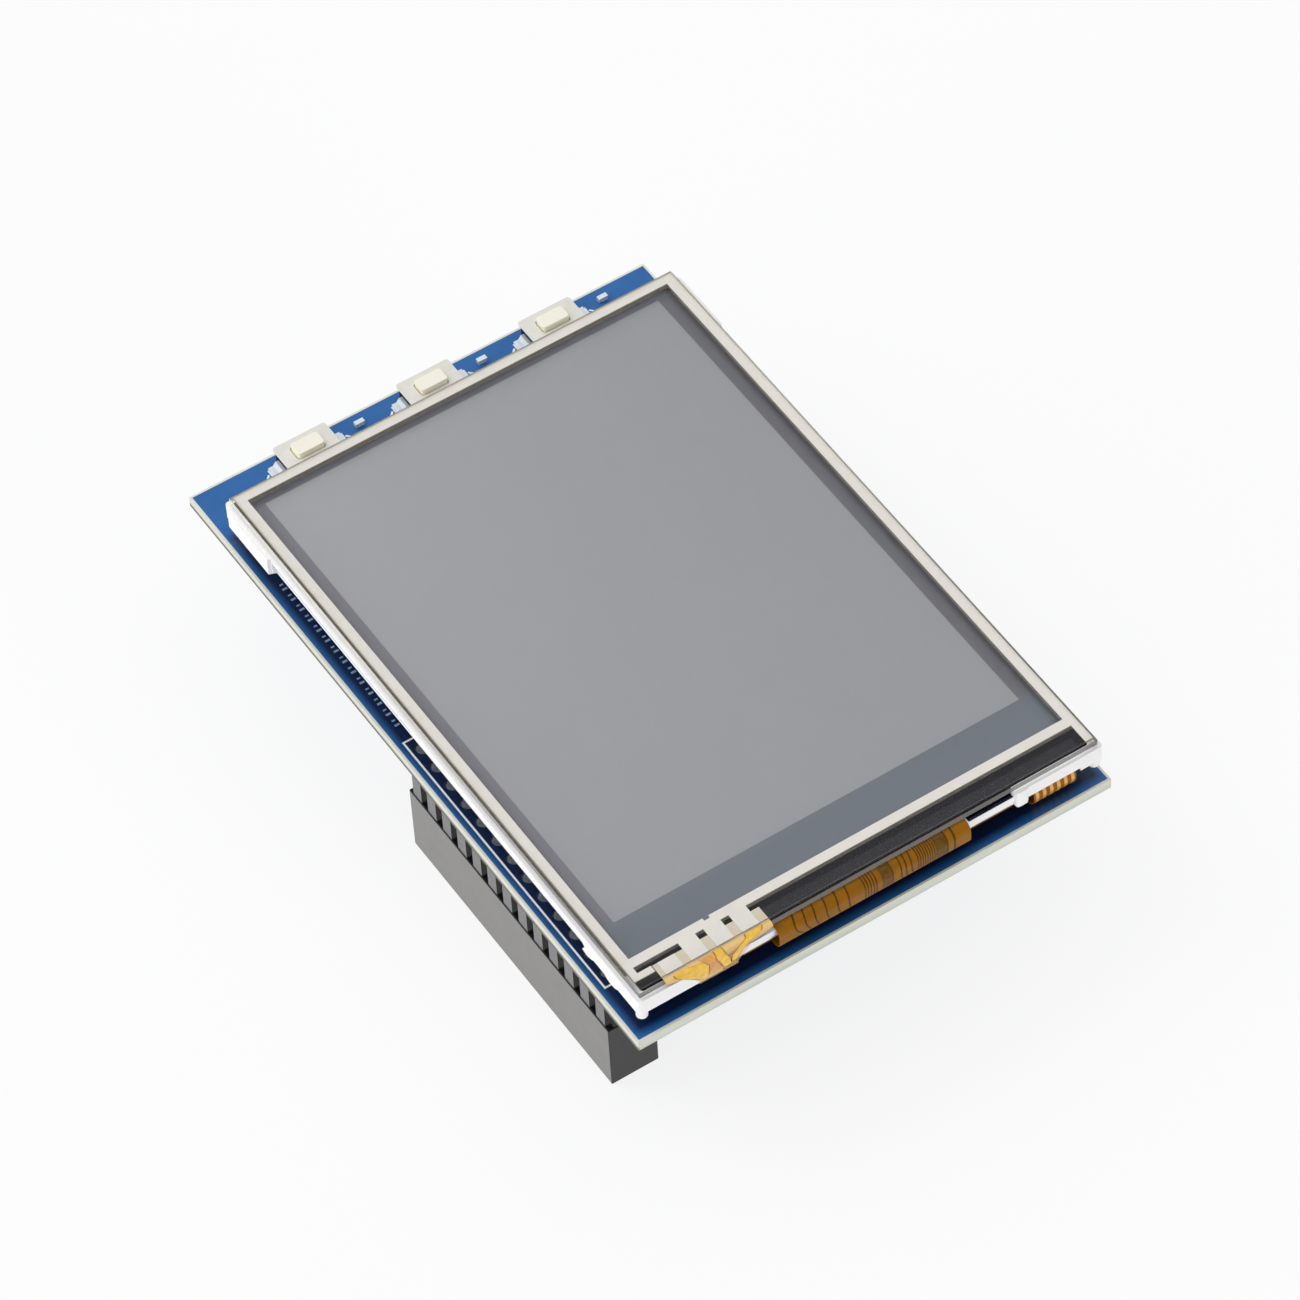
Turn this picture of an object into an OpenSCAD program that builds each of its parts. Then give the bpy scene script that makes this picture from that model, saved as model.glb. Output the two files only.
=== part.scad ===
// Plug-on touch display: a framed picture panel with a touch layer stands on
// foam over a circuit board.  Three keys sit along the far edge, and a two-row
// pin socket hangs below the left edge on a spacer strip.
// X runs along the short side, Y along the long side towards the keys, and Z
// is up out of the screen.  The origin is below the middle of the board, on
// the mating face of the socket.

/* [Picture] */
// Width of the visible picture
view_w = 43.3; // [36:0.1:56]
// Length of the visible picture
view_l = 58.7; // [52:0.1:80]
// From the picture to the frame's left and right faces
side_border = 3.05; // [2.6:0.05:5]
// From the picture to the frame's face at the far end, by the keys
head_border = 2.2; // [2.0:0.05:5]
// From the picture to the frame's face at the near end, by the flex
foot_border = 8.6; // [8.4:0.1:12]

/* [Board] */
// Strip of board left and right of the frame
board_side = 0.6; // [0.4:0.1:4]
// Strip of board in front of the frame at the near end
foot_margin = 0.5; // [0.3:0.1:4]
// Strip of board for the keys at the far end
key_strip = 6.2; // [5.6:0.1:12]
// Thickness of the board
board_t = 1.2; // [0.8:0.1:2]

/* [Socket] */
// Contacts in each row
socket_cols = 13; // [4:1:16]
// Distance between contacts, along and across
pitch = 2.54; // [2.54:0.01:2.54]
// Width of the socket body
socket_w = 5; // [4.9:0.1:6]
// Height of the socket body
socket_h = 8; // [7:0.1:11]
// Height of the notched spacer strip between socket and board
spacer_h = 5.5; // [1.5:0.1:9]
// Distance that the spacer's sides stand back from the socket's
spacer_setback = 0.1; // [0.05:0.05:0.4]
// From the board's left edge to the socket's side
socket_inset = 0.9; // [0:0.05:2]
// From the board's near edge to the socket's end
socket_near = 6.7; // [1:0.1:8]
// Height of the pin tails above the board
tail_out = 0.9; // [0.5:0.1:1.4]

/* [Frame] */
// Depth of the skirt below the wall that shows
skirt_h = 0.6; // [0.5:0.05:1.2]
// Distance that the skirt stands back from the wall
skirt_in = 0.5; // [0.3:0.05:0.7]
// Diameter of the two locating pegs
peg_d = 1.1; // [0.8:0.1:1.2]
// Height of the low bar in the near wall, which the panel flex crosses
bar_h = 0.7; // [0.5:0.05:0.9]
// Distance that the bar stands back from the wall
bar_in = 0.3; // [0.2:0.05:0.4]
// Depth of the recess in each side wall
recess_d = 0.35; // [0.2:0.05:0.45]
// Length of the corner lugs at the far end
lug_l = 8.3; // [5:0.1:12]
// Distance that the corner lugs stand out
lug_out = 0.3; // [0.2:0.05:0.35]
// Thickness of the foam between the panel and the board
foam_t = 2.3; // [1.9:0.1:4]

/* [Layers] */
// Thickness of the white reflector sheet
reflector_t = 0.1; // [0.08:0.01:0.2]
// Thickness of the light guide
guide_t = 0.65; // [0.55:0.05:1]
// Thickness of the diffuser and of each prism film
film_t = 0.1; // [0.06:0.01:0.15]
// Thickness of the dark rim tape under the picture cell
rim_tape_t = 0.2; // [0.17:0.01:0.3]
// Thickness of each polariser
polariser_t = 0.15; // [0.1:0.01:0.16]
// Thickness of each of the two cell glasses
glass_t = 0.5; // [0.3:0.05:0.7]
// Thickness of the gasket under the touch glass
gasket_t = 0.1; // [0.05:0.01:0.3]
// Thickness of the touch glass
touch_t = 0.7; // [0.5:0.05:1.1]
// Thickness of the ivory adhesive ring on the touch glass
ring_t = 0.1; // [0.08:0.01:0.2]
// Thickness of the top film
top_film_t = 0.18; // [0.1:0.01:0.25]

/* [Touch layer] */
// From the frame's faces to the touch glass
touch_lip = 0.35; // [0.2:0.05:0.5]
// Distance that the top film stands back from the glass
film_back = 0.25; // [0.1:0.05:0.4]
// Clear border beside the picture, up to the ivory ring
clear_side = 1.45; // [1:0.05:1.8]
// Clear border at the far end
clear_head = 0.6; // [0.4:0.05:1]
// Clear border at the near end
clear_foot = 4.65; // [4:0.05:4.9]
// Width of the ivory band across the near end
near_band = 1; // [0.5:0.05:1.2]
// Width of each terminal pad of the touch tail
pad_w = 1.8; // [1.4:0.1:2.1]
// Distance between terminal pads
pad_pitch = 2.65; // [2.4:0.05:3]
// From the frame's left face to the middle of the first pad
pad_first = 4.3; // [4:0.1:6]

/* [Flexible circuits] */
// Thickness of the flexible circuits
flex_t = 0.1; // [0.06:0.01:0.15]
// Width of the panel flex where it bends round the frame
flex_neck_w = 20.4; // [14:0.1:22]
// Width of the panel flex under the frame
flex_body_w = 30; // [24:0.5:32]
// Distance that the wide part lies to the right of the middle
flex_shift = 1.9; // [0:0.1:2.4]
// Height of the bend of the panel flex
flex_bend_h = 2.6; // [2:0.1:3]
// Width of the backlight flex
lamp_flex_w = 4.6; // [4:0.1:5]
// Width of the touch tail below its shoulders
tail_w = 4; // [3:0.1:5]

/* [Keys] */
// Distance between keys
key_pitch = 13.6; // [12.4:0.1:18]
// Length of the key body, along the board edge
key_l = 5.8; // [5.4:0.1:7]
// Width of the key body
key_w = 3.6; // [3.4:0.1:4.2]
// Height of the key base
key_base_h = 1.35; // [1.25:0.05:1.8]
// Thickness of the key cover
key_cover_t = 0.2; // [0.15:0.01:0.25]
// Length of the push button
button_l = 2.9; // [2.4:0.1:3.2]
// Width of the push button
button_w = 1.6; // [1.2:0.1:1.8]
// Height of the push button above its cover
button_out = 0.6; // [0.5:0.05:1.5]
// Travel of the push button
key_travel = 0.25; // [0.15:0.05:0.3]
// Gap between moving and fixed pieces of a key
key_gap = 0.08; // [0.05:0.01:0.12]

/* [Hidden] */
$fn = 48;
eps = 0.01;
fit = 0.1;

// Plan of the board and of the frame that stands on it
frame_w = view_w + 2 * side_border;
frame_l = foot_border + view_l + head_border;
board_w = frame_w + 2 * board_side;
board_l = foot_margin + frame_l + key_strip;
near_y = -board_l / 2;
far_y = board_l / 2;
left_x = -board_w / 2;
frame_x = frame_w / 2;
frame_s = near_y + foot_margin;
frame_n = frame_s + frame_l;
view_x = view_w / 2;
view_s = frame_s + foot_border;
view_n = view_s + view_l;

// Levels from the mating face upwards
spacer_z = socket_h;
board_z = spacer_z + spacer_h;
board_top = board_z + board_t;
panel_z = board_top + foam_t;
wall_z = panel_z + skirt_h;
guide_z = panel_z + reflector_t;
diffuser_z = guide_z + guide_t;
prism_z = diffuser_z + film_t;
ledge_z = diffuser_z + 3 * film_t;
array_z = ledge_z + rim_tape_t;
filter_z = array_z + glass_t;
cell_top = filter_z + glass_t;
rim_z = cell_top + polariser_t;
touch_z = rim_z + gasket_t;
ring_z = touch_z + touch_t;
top_film_z = ring_z + ring_t;
screen_top = top_film_z + top_film_t;

// Pockets of the frame, and what lies in them
wall_h = rim_z - wall_z;
skirt_near = 0.75;
cell_wall = 0.95;
cell_x = frame_x - cell_wall - fit;
cell_s = frame_s + 1;
cell_n = frame_n - 0.8;
tray_in = 0.75;
tray_x = cell_x + fit - tray_in;
tray_s = frame_s + 1.3;
tray_n = cell_n + fit - 0.6;
guide_s = frame_s + 4;
film_s = guide_s + 0.8;
filter_s = frame_s + 3.7;
polariser_in = 0.7;

// Low stretch of the frame's near wall, which the flexes pass over, with a
// knuckle at its right end
bar_left = -16;
bar_right = 15.3;
bar_top = filter_z - 0.1;
bar_z = max(bar_top - bar_h, wall_z + 0.05);
knuckle_w = 1.3;
knuckle_z = wall_z - 0.1;

// Touch layer
touch_x = frame_x - touch_lip;
touch_s = frame_s + touch_lip;
touch_n = frame_n - touch_lip;
clear_x = view_x + clear_side;
clear_s = view_s - clear_foot;
clear_n = view_n + clear_head;
gasket_back = 0.2;
band_s = clear_s - near_band;
pad_t = 0.03;
pads = 4;
first_pad_back = 0.75;
tail_head_l = -frame_x + pad_first - pad_w / 2 - 0.5;

// Bends of the flexible circuits
bend_r = 0.9;
bend_top = filter_z + flex_t;
bend_y = frame_s - 0.3 + bend_r;
flex_land = view_s - 2.5;
lamp_x = bar_right + knuckle_w + 3.3;
lamp_out = (diffuser_z + flex_t - board_top) / 2;
lamp_bend_y = frame_s + 0.5 + lamp_out;
notch_right = lamp_x + lamp_flex_w / 2 + 0.1;

// Socket
socket_l = socket_cols * pitch + 0.18;
socket_x = left_x + socket_inset + socket_w / 2;
socket_y = near_y + socket_near + socket_l / 2;
pin_w = 0.64;
solder_r = 0.8;
chamber_w = 1.3;
chamber_l = 1.9;
throat_w = 0.9;
mouth_w = 1.7;
mouth_h = 0.6;
roof_h = 0.8;

// Keys
key_y = far_y - 2.35;
key_floor = 0.35;
key_well_d = 2.9;
dome_d = 2.7;
dome_h = 0.45;
dome_t = 0.06;
cover_z = board_top + key_base_h;
cover_top = cover_z + key_cover_t;
flange_z = board_top + key_floor + dome_h + 0.03;
flange_side = 0.3;
tab_w = 2;
tab_t = 0.15;
tab_h = 0.55;
tab_in = 0.4;

// Chip parts: length, width and height
small_chip = [1, 0.5, 0.5];
resistor_size = [1.6, 0.8, 0.45];
capacitor_size = [1.6, 0.8, 0.8];
small_chip_at = [6, 0.75];

// ---- plain shapes ----

module rect(x0, y0, x1, y1) {
  translate([x0, y0]) square([x1 - x0, y1 - y0]);
}

// Rectangle with round corners, made of true arcs
module round_rect(x0, y0, x1, y1, r) {
  rect(x0 + r, y0, x1 - r, y1);
  rect(x0, y0 + r, x1, y1 - r);
  for (x = [x0 + r, x1 - r], y = [y0 + r, y1 - r])
    translate([x, y]) circle(r = r);
}

// Plan outline raised between two levels
module slab(z0, z1) {
  translate([0, 0, z0]) linear_extrude(z1 - z0) children();
}

// Outline in Y and Z drawn out along X
module along_x(x0, x1) {
  translate([x0, 0, 0]) rotate([90, 0, 90]) linear_extrude(x1 - x0) children();
}

// Outline in X and Z drawn out along Y
module along_y(y0, y1) {
  translate([0, y1, 0]) rotate([90, 0, 0]) linear_extrude(y1 - y0) children();
}

// Half ring that opens to the right, for a flex folded back on itself
module fold(y, z, r_out, t) {
  translate([y, z]) intersection() {
    difference() {
      circle(r = r_out);
      circle(r = r_out - t);
    }
    translate([-2 * r_out, -r_out]) square(2 * r_out);
  }
}

// Child placed at every contact of the socket
module each_contact() {
  for (row = [-0.5, 0.5], i = [0 : socket_cols - 1])
    translate([socket_x + row * pitch, socket_y + (i - (socket_cols - 1) / 2) * pitch, 0])
      children();
}

// ---- board and socket ----

module circuit_board() {
  color("royalblue") slab(board_z, board_top) difference() {
    rect(left_x, near_y, -left_x, far_y);
    each_contact() circle(d = 1);
  }
}

// One contact cavity: a funnel at the mating face, a throat, a chamber and
// the hole for the tail
module contact_cavity() {
  funnel = [[-mouth_w / 2, -eps], [mouth_w / 2, -eps],
            [throat_w / 2, mouth_h], [-throat_w / 2, mouth_h]];
  intersection() {
    along_x(-mouth_w / 2, mouth_w / 2) polygon(funnel);
    along_y(-mouth_w / 2, mouth_w / 2) polygon(funnel);
  }
  slab(mouth_h - eps, mouth_h + 0.5) square(throat_w, center = true);
  slab(mouth_h + 0.4, socket_h - roof_h) square([chamber_w, chamber_l], center = true);
  slab(socket_h - roof_h - eps, socket_h + eps) square(pin_w + 0.1, center = true);
}

module socket_body() {
  color("dimgray") difference() {
    slab(0, socket_h)
      rect(socket_x - socket_w / 2, socket_y - socket_l / 2,
           socket_x + socket_w / 2, socket_y + socket_l / 2);
    each_contact() contact_cavity();
  }
}

// Spacer with a notch between every two contacts, as on a snap-off pin strip
module spacer_strip() {
  half = socket_w / 2 - spacer_setback;
  notch = 0.55;
  function side(s) = [for (i = [0 : socket_cols]) let (
      k = s > 0 ? i : socket_cols - i,
      y = (k - socket_cols / 2) * pitch,
      first = i == 0,
      last = i == socket_cols)
    each [if (!first) [s * half, y - s * notch],
          [s * (half - notch), y],
          if (!last) [s * half, y + s * notch]]];
  color("dimgray") slab(spacer_z, board_z) difference() {
    translate([socket_x, socket_y]) polygon(concat(side(1), side(-1)));
    each_contact() square(pin_w + 0.06, center = true);
  }
}

// Fork with two sprung leaves, and the square tail that goes through the board
module contact() {
  top = socket_h - roof_h - 0.1;
  bottom = mouth_h + 0.7;
  mid = bottom + 1.3;
  outer = chamber_l / 2 - 0.1;
  leaf_t = 0.2;
  along_x(-0.4, 0.4) {
    rect(-outer, top - 0.6, outer, top);
    for (s = [-1, 1])
      polygon([[s * outer, top - 0.5], [s * outer, top - 2], [s * (0.3 + leaf_t), mid],
               [s * (0.5 + leaf_t), bottom], [s * 0.5, bottom], [s * 0.3, mid],
               [s * (outer - leaf_t), top - 2], [s * (outer - leaf_t), top - 0.5]]);
  }
  slab(top - 0.5, board_top + tail_out) square(pin_w, center = true);
}

module socket_contacts() {
  color("gold") each_contact() contact();
}

module header_solder() {
  color("silver") each_contact() difference() {
    translate([0, 0, board_top]) cylinder(r1 = solder_r, r2 = 0.42, h = 0.6);
    slab(board_top - eps, board_top + 1) square(pin_w, center = true);
  }
}

// ---- keys ----

module at_key(n) {
  translate([(n - 2) * key_pitch, key_y, 0]) children();
}

// Rectangle about the middle of a key
module centred(l, w, r = 0.2) {
  round_rect(-l / 2, -w / 2, l / 2, w / 2, r);
}

module key_base(n) {
  color("black") at_key(n) difference() {
    slab(board_top, cover_z) centred(key_l - 0.3, key_w - 2 * key_cover_t, 0.3);
    for (s = [-1, 1])
      slab(board_top - eps, board_top + tab_h + eps)
        rect(s * key_l / 2 - tab_in, -tab_w / 2 - eps, s * key_l / 2 + tab_in, tab_w / 2 + eps);
    slab(board_top + key_floor, cover_z + eps) circle(d = key_well_d);
    slab(flange_z - key_travel - key_gap, cover_z + eps)
      centred(button_l + 2 * flange_side + 2 * key_gap, button_w + 2 * flange_side + 2 * key_gap);
  }
}

// Folded cover: a top with the button's hole, and a skirt down each long side
module key_cover(n) {
  color("whitesmoke") at_key(n) {
    slab(cover_z, cover_top) difference() {
      centred(key_l, key_w, 0.3);
      centred(button_l + 2 * key_gap, button_w + 2 * key_gap, 0.3);
    }
    for (s = [-1, 1])
      slab(board_top + 0.45, cover_z)
        rect(-key_l / 2 + 0.4, s * (key_w / 2 - key_cover_t / 2) - key_cover_t / 2,
             key_l / 2 - 0.4, s * (key_w / 2 - key_cover_t / 2) + key_cover_t / 2);
  }
}

// Snap dome: a shallow spherical shell that stands on its edge
module key_dome(n) {
  rise = dome_h - dome_t;
  radius = (pow(dome_d / 2, 2) + rise * rise) / (2 * rise);
  color("silver") at_key(n) translate([0, 0, board_top + key_floor])
    rotate_extrude() intersection() {
      translate([0, rise - radius]) difference() {
        circle(r = radius + dome_t, $fn = 96);
        circle(r = radius, $fn = 96);
      }
      rect(0, 0, dome_d / 2, dome_h + 1);
    }
}

module key_button(n) {
  color("ivory") at_key(n) {
    slab(flange_z, cover_z - key_gap)
      centred(button_l + 2 * flange_side, button_w + 2 * flange_side);
    slab(cover_z - key_gap, cover_top + button_out) centred(button_l, button_w, 0.3);
  }
}

// Two tabs to a key: each comes out of the base, slopes down and lies flat
module key_terminals() {
  x = key_l / 2;
  z = board_top;
  color("silver") for (n = [1 : 3]) at_key(n) for (s = [0, 1]) mirror([s, 0, 0])
    along_y(-tab_w / 2, tab_w / 2)
      polygon([[x - tab_in, z + tab_h - tab_t], [x + 0.05, z + tab_h - tab_t], [x + 0.35, z],
               [x + 1, z], [x + 1, z + tab_t], [x + 0.45, z + tab_t], [x + 0.15, z + tab_h],
               [x - tab_in, z + tab_h]]);
}

// Length of each metal end of a chip part
function chip_end(size) = 0.19 * size[0];

module chip_body(size) {
  translate([chip_end(size) - size[0] / 2, -size[1] / 2, 0])
    cube([size[0] - 2 * chip_end(size), size[1], size[2]]);
}

module at_small_chips() {
  for (n = [1 : 3]) at_key(n)
    translate([small_chip_at[0], small_chip_at[1], board_top]) children();
}

module key_capacitors() {
  color("tan") at_small_chips() chip_body(small_chip);
}

// ---- panel ----

module foam_pad(x0, x1) {
  color("gray") slab(board_top, panel_z) round_rect(x0, view_s + 3, x1, view_n - 3, 0.5);
}

// The left pad stands clear of the socket's solder
module foam_pad_left() {
  left = max(-tray_x + 3.6, socket_x + pitch / 2 + solder_r + 0.4);
  foam_pad(left, left + 5.2);
}

module foam_pad_right() {
  foam_pad(tray_x - 4.6, tray_x + 0.4);
}

// Long recess in a side wall: shallow at the far end, deeper from the step on,
// and round at its near end
module side_recess() {
  step_y = frame_s + 37.3;
  end_y = frame_s + 8.7;
  high = rim_z - 0.31 * wall_h;
  low = rim_z - 0.57 * wall_h;
  r = 0.28 * wall_h;
  rect(step_y, wall_z - eps, frame_n - lug_l, high);
  rect(end_y + r, wall_z - eps, step_y + eps, low);
  rect(end_y, wall_z - eps, end_y + 2 * r, low - r);
  translate([end_y + r, low - r]) circle(r = r);
}

// Corner lug at the far end, with its outer corner cut off
module corner_lug() {
  polygon([[frame_x - 0.4, frame_n - lug_l], [frame_x + lug_out, frame_n - lug_l + 0.3],
           [frame_x + lug_out, frame_n - 1], [frame_x - 0.5, frame_n],
           [frame_x - 0.5, frame_n - lug_l]]);
}

// Two shallow scallops that hang from the lower edge of a side wall
module side_scallops() {
  half = 1.1;
  drop = 0.4;
  r = (half * half + drop * drop) / (2 * drop);
  for (y = [frame_s + 4.5, frame_s + 8.4])
    along_x(frame_x - skirt_in - 0.1, frame_x) intersection() {
      translate([y, wall_z - drop + r]) circle(r = r);
      rect(y - half, wall_z - drop, y + half, wall_z + eps);
    }
}

// Cuts in the near wall: the low bar for the flexes, and the notch below the
// right end where the backlight flex comes out
module near_wall_cuts() {
  deep = cell_s - frame_s + 0.2;
  slab(bar_top, rim_z + eps) rect(bar_left, frame_s - 1, bar_right, frame_s + deep);
  slab(wall_z - eps, bar_top + eps) rect(bar_left, frame_s - 1, bar_right, frame_s + bar_in);
  slab(wall_z - eps, bar_z) rect(bar_left, frame_s - 1, bar_right, frame_s + skirt_near + eps);
  slab(panel_z - eps, diffuser_z + flex_t + 0.15)
    rect(bar_right + knuckle_w, frame_s - 1, notch_right, tray_s + 1);
}

module backlight_frame() {
  color("white") {
    difference() {
      union() {
        slab(wall_z, rim_z) round_rect(-frame_x, frame_s, frame_x, frame_n, 0.3);
        slab(panel_z, wall_z)
          round_rect(-frame_x + skirt_in, frame_s + skirt_near, frame_x - skirt_in,
                     frame_n - skirt_in, 0.3);
        for (s = [0, 1]) mirror([s, 0, 0]) {
          slab(wall_z - 0.35, rim_z - 0.05) corner_lug();
          side_scallops();
        }
      }
      slab(ledge_z, rim_z + eps)
        round_rect(-cell_x - fit, cell_s - fit, cell_x + fit, cell_n + fit, 0.3);
      slab(panel_z - eps, ledge_z + eps)
        round_rect(-tray_x, tray_s, tray_x, tray_n, 0.2);
      for (s = [0, 1]) mirror([s, 0, 0])
        along_x(frame_x - recess_d, frame_x + lug_out + 1) side_recess();
      near_wall_cuts();
    }
    slab(knuckle_z, rim_z)
      round_rect(bar_right, frame_s - 0.15, bar_right + knuckle_w, frame_s + skirt_near + eps, 0.3);
    for (s = [-1, 1])
      translate([s * (frame_x - 0.6), frame_s + 0.55, panel_z - 0.15])
        cylinder(d = peg_d, h = wall_z - panel_z + 0.25);
  }
}

module sheet(z0, z1, inset, s) {
  slab(z0, z1) rect(-tray_x + inset, s, tray_x - inset, tray_n - inset);
}

module reflector_sheet() {
  color("white") sheet(panel_z, guide_z, fit, guide_s);
}

module light_guide() {
  color("lightcyan") sheet(guide_z, diffuser_z, fit, guide_s);
}

module diffuser_film() {
  color("snow") sheet(diffuser_z, prism_z, 0.15, film_s);
}

module lower_prism_film() {
  color("gainsboro") sheet(prism_z, prism_z + film_t, 0.15, film_s);
}

module upper_prism_film() {
  color("gainsboro") sheet(prism_z + film_t, ledge_z, 0.15, film_s);
}

// Lamp strip across the near end, with its flex folded down to the board
module lamp_strip() {
  strip_z = diffuser_z;
  color("goldenrod") {
    slab(strip_z, strip_z + flex_t)
      rect(-tray_x + 0.3, tray_s + fit, tray_x - 0.3, guide_s + 0.6);
    along_x(lamp_x - lamp_flex_w / 2, lamp_x + lamp_flex_w / 2) {
      fold(lamp_bend_y, board_top + lamp_out, lamp_out, flex_t);
      rect(lamp_bend_y - eps, strip_z, tray_s + 1, strip_z + flex_t);
      rect(lamp_bend_y - eps, board_top, lamp_bend_y + 2.2, board_top + flex_t);
    }
  }
}

module lamps() {
  count = 4;
  color("lemonchiffon") for (i = [0 : count - 1])
    translate([(i - (count - 1) / 2) * view_w / count, (tray_s + guide_s) / 2, guide_z])
      translate([-1.9, -0.5, 0]) cube([3.8, 1, guide_t]);
}

module rim_tape() {
  color("black") slab(ledge_z, array_z) difference() {
    rect(-cell_x, cell_s, cell_x, cell_n);
    rect(-cell_x + polariser_in + 0.1, filter_s + 0.1,
         cell_x - polariser_in - 0.1, cell_n - polariser_in + 0.05);
  }
}

module rear_polariser() {
  color("dimgray") slab(array_z - polariser_t, array_z)
    rect(-cell_x + polariser_in + 0.2, filter_s + 0.2,
         cell_x - polariser_in - 0.2, cell_n - polariser_in - 0.05);
}

module array_glass() {
  color("lightgray") slab(array_z, filter_z) rect(-cell_x, cell_s, cell_x, cell_n);
}

module colour_filter_glass() {
  color("gray") slab(filter_z, cell_top) rect(-cell_x, filter_s, cell_x, cell_n);
}

module front_polariser() {
  color("darkgray") slab(cell_top, cell_top + polariser_t)
    rect(-cell_x + polariser_in, filter_s + 0.4, cell_x - polariser_in, cell_n - 0.4);
}

module driver_chip() {
  color("black") slab(filter_z, cell_top) rect(-9.5, filter_s - 1.1, 9.5, filter_s - 0.2);
}

// Black tape over the ledge, and a strip of it on the bar beside the flex
module ledge_tape() {
  color("black") {
    slab(cell_top, rim_z) rect(-cell_x, cell_s, cell_x, filter_s + 0.3);
    slab(bar_top, bar_top + 0.05)
      rect(flex_neck_w / 2 + 0.2, frame_s + bar_in + 0.05, bar_right - 0.1, cell_s - 0.02);
  }
}

// Quarter ring with its middle at [y, z]; turn 0 faces up and back
module quarter_bend(y, z, r_out, t, turn) {
  translate([y, z]) rotate(turn) intersection() {
    difference() {
      circle(r = r_out);
      circle(r = r_out - t);
    }
    rect(-r_out - 1, 0, 0, r_out + 1);
  }
}

// Panel flex: bonded to the ledge of the array glass, bent round the low bar,
// then wide where it slopes down under the frame and lies flat on the board
module panel_flex() {
  low_z = bend_top - flex_bend_h;
  back_y = bend_y + 0.5;
  color("goldenrod") {
    along_x(-flex_neck_w / 2, flex_neck_w / 2) {
      rect(bend_y - eps, bend_top - flex_t, filter_s - 1.5, bend_top);
      quarter_bend(bend_y, bend_top - bend_r, bend_r, flex_t, 0);
      rect(bend_y - bend_r, low_z + bend_r - eps, bend_y - bend_r + flex_t, bend_top - bend_r + eps);
      quarter_bend(bend_y, low_z + bend_r, bend_r, flex_t, 90);
      rect(bend_y - eps, low_z, back_y + eps, low_z + flex_t);
    }
    along_x(flex_shift - flex_body_w / 2, flex_shift + flex_body_w / 2) {
      rect(back_y, low_z, back_y + 0.5, low_z + flex_t);
      polygon([[back_y + 0.5 - eps, low_z], [flex_land, board_top], [flex_land, board_top + flex_t],
               [back_y + 0.5 - eps, low_z + flex_t]]);
      rect(flex_land - eps, board_top, flex_land + 5, board_top + flex_t);
    }
  }
}

// Row of solder joints that holds the end of the panel flex
module panel_flex_joints() {
  joint_pitch = 0.8;
  count = floor((flex_body_w - 1) / joint_pitch);
  color("silver") for (i = [0 : count - 1])
    translate([flex_shift + (i - (count - 1) / 2) * joint_pitch - 0.2, flex_land + 3,
               board_top + flex_t]) cube([0.4, 1.6, 0.12]);
}

// Gasket on the frame's rim and the ledge tape, hidden by the ivory ring
module touch_gasket() {
  color("dimgray") slab(rim_z, touch_z) difference() {
    rect(-touch_x + 0.3, band_s + gasket_back, touch_x - 0.3, touch_n - 0.2);
    rect(-clear_x - gasket_back, clear_s - gasket_back, clear_x + gasket_back,
         clear_n + gasket_back);
  }
}

module touch_glass() {
  color("lightgray") slab(touch_z, ring_z) rect(-touch_x, touch_s, touch_x, touch_n);
}

// Ivory ring: a band round the picture with a nick at the near end, one leg
// down to the right corner, and a hooked leg on the left beside the pads
module touch_ring() {
  x = touch_x - film_back;
  hook_y = band_s - 0.7;
  color("ivory") slab(ring_z, top_film_z) {
    difference() {
      rect(-x, band_s, x, touch_n - film_back);
      rect(-clear_x, clear_s, clear_x, clear_n);
      translate([-frame_x + pad_first + 2 * pad_pitch, clear_s]) square(0.6, center = true);
    }
    rect(clear_x + 0.2, touch_s + film_back, x, band_s + eps);
    rect(-x, hook_y - 0.7, -x + 0.8, band_s + eps);
    rect(-x + 0.8 - eps, hook_y - 0.7, tail_head_l - 0.1, hook_y);
  }
}

// Four terminal pads: the first stops below the band, the others run up to it
module touch_pads() {
  color("ivory") slab(top_film_z - pad_t, top_film_z) for (i = [0 : pads - 1])
    translate([-frame_x + pad_first + i * pad_pitch, 0])
      rect(-pad_w / 2, touch_s + film_back, pad_w / 2, band_s - (i == 0 ? first_pad_back : 0));
}

module touch_film() {
  color("white", 0.3) slab(top_film_z, screen_top)
    rect(-touch_x + film_back, touch_s + film_back, touch_x - film_back, touch_n - film_back);
}

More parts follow.
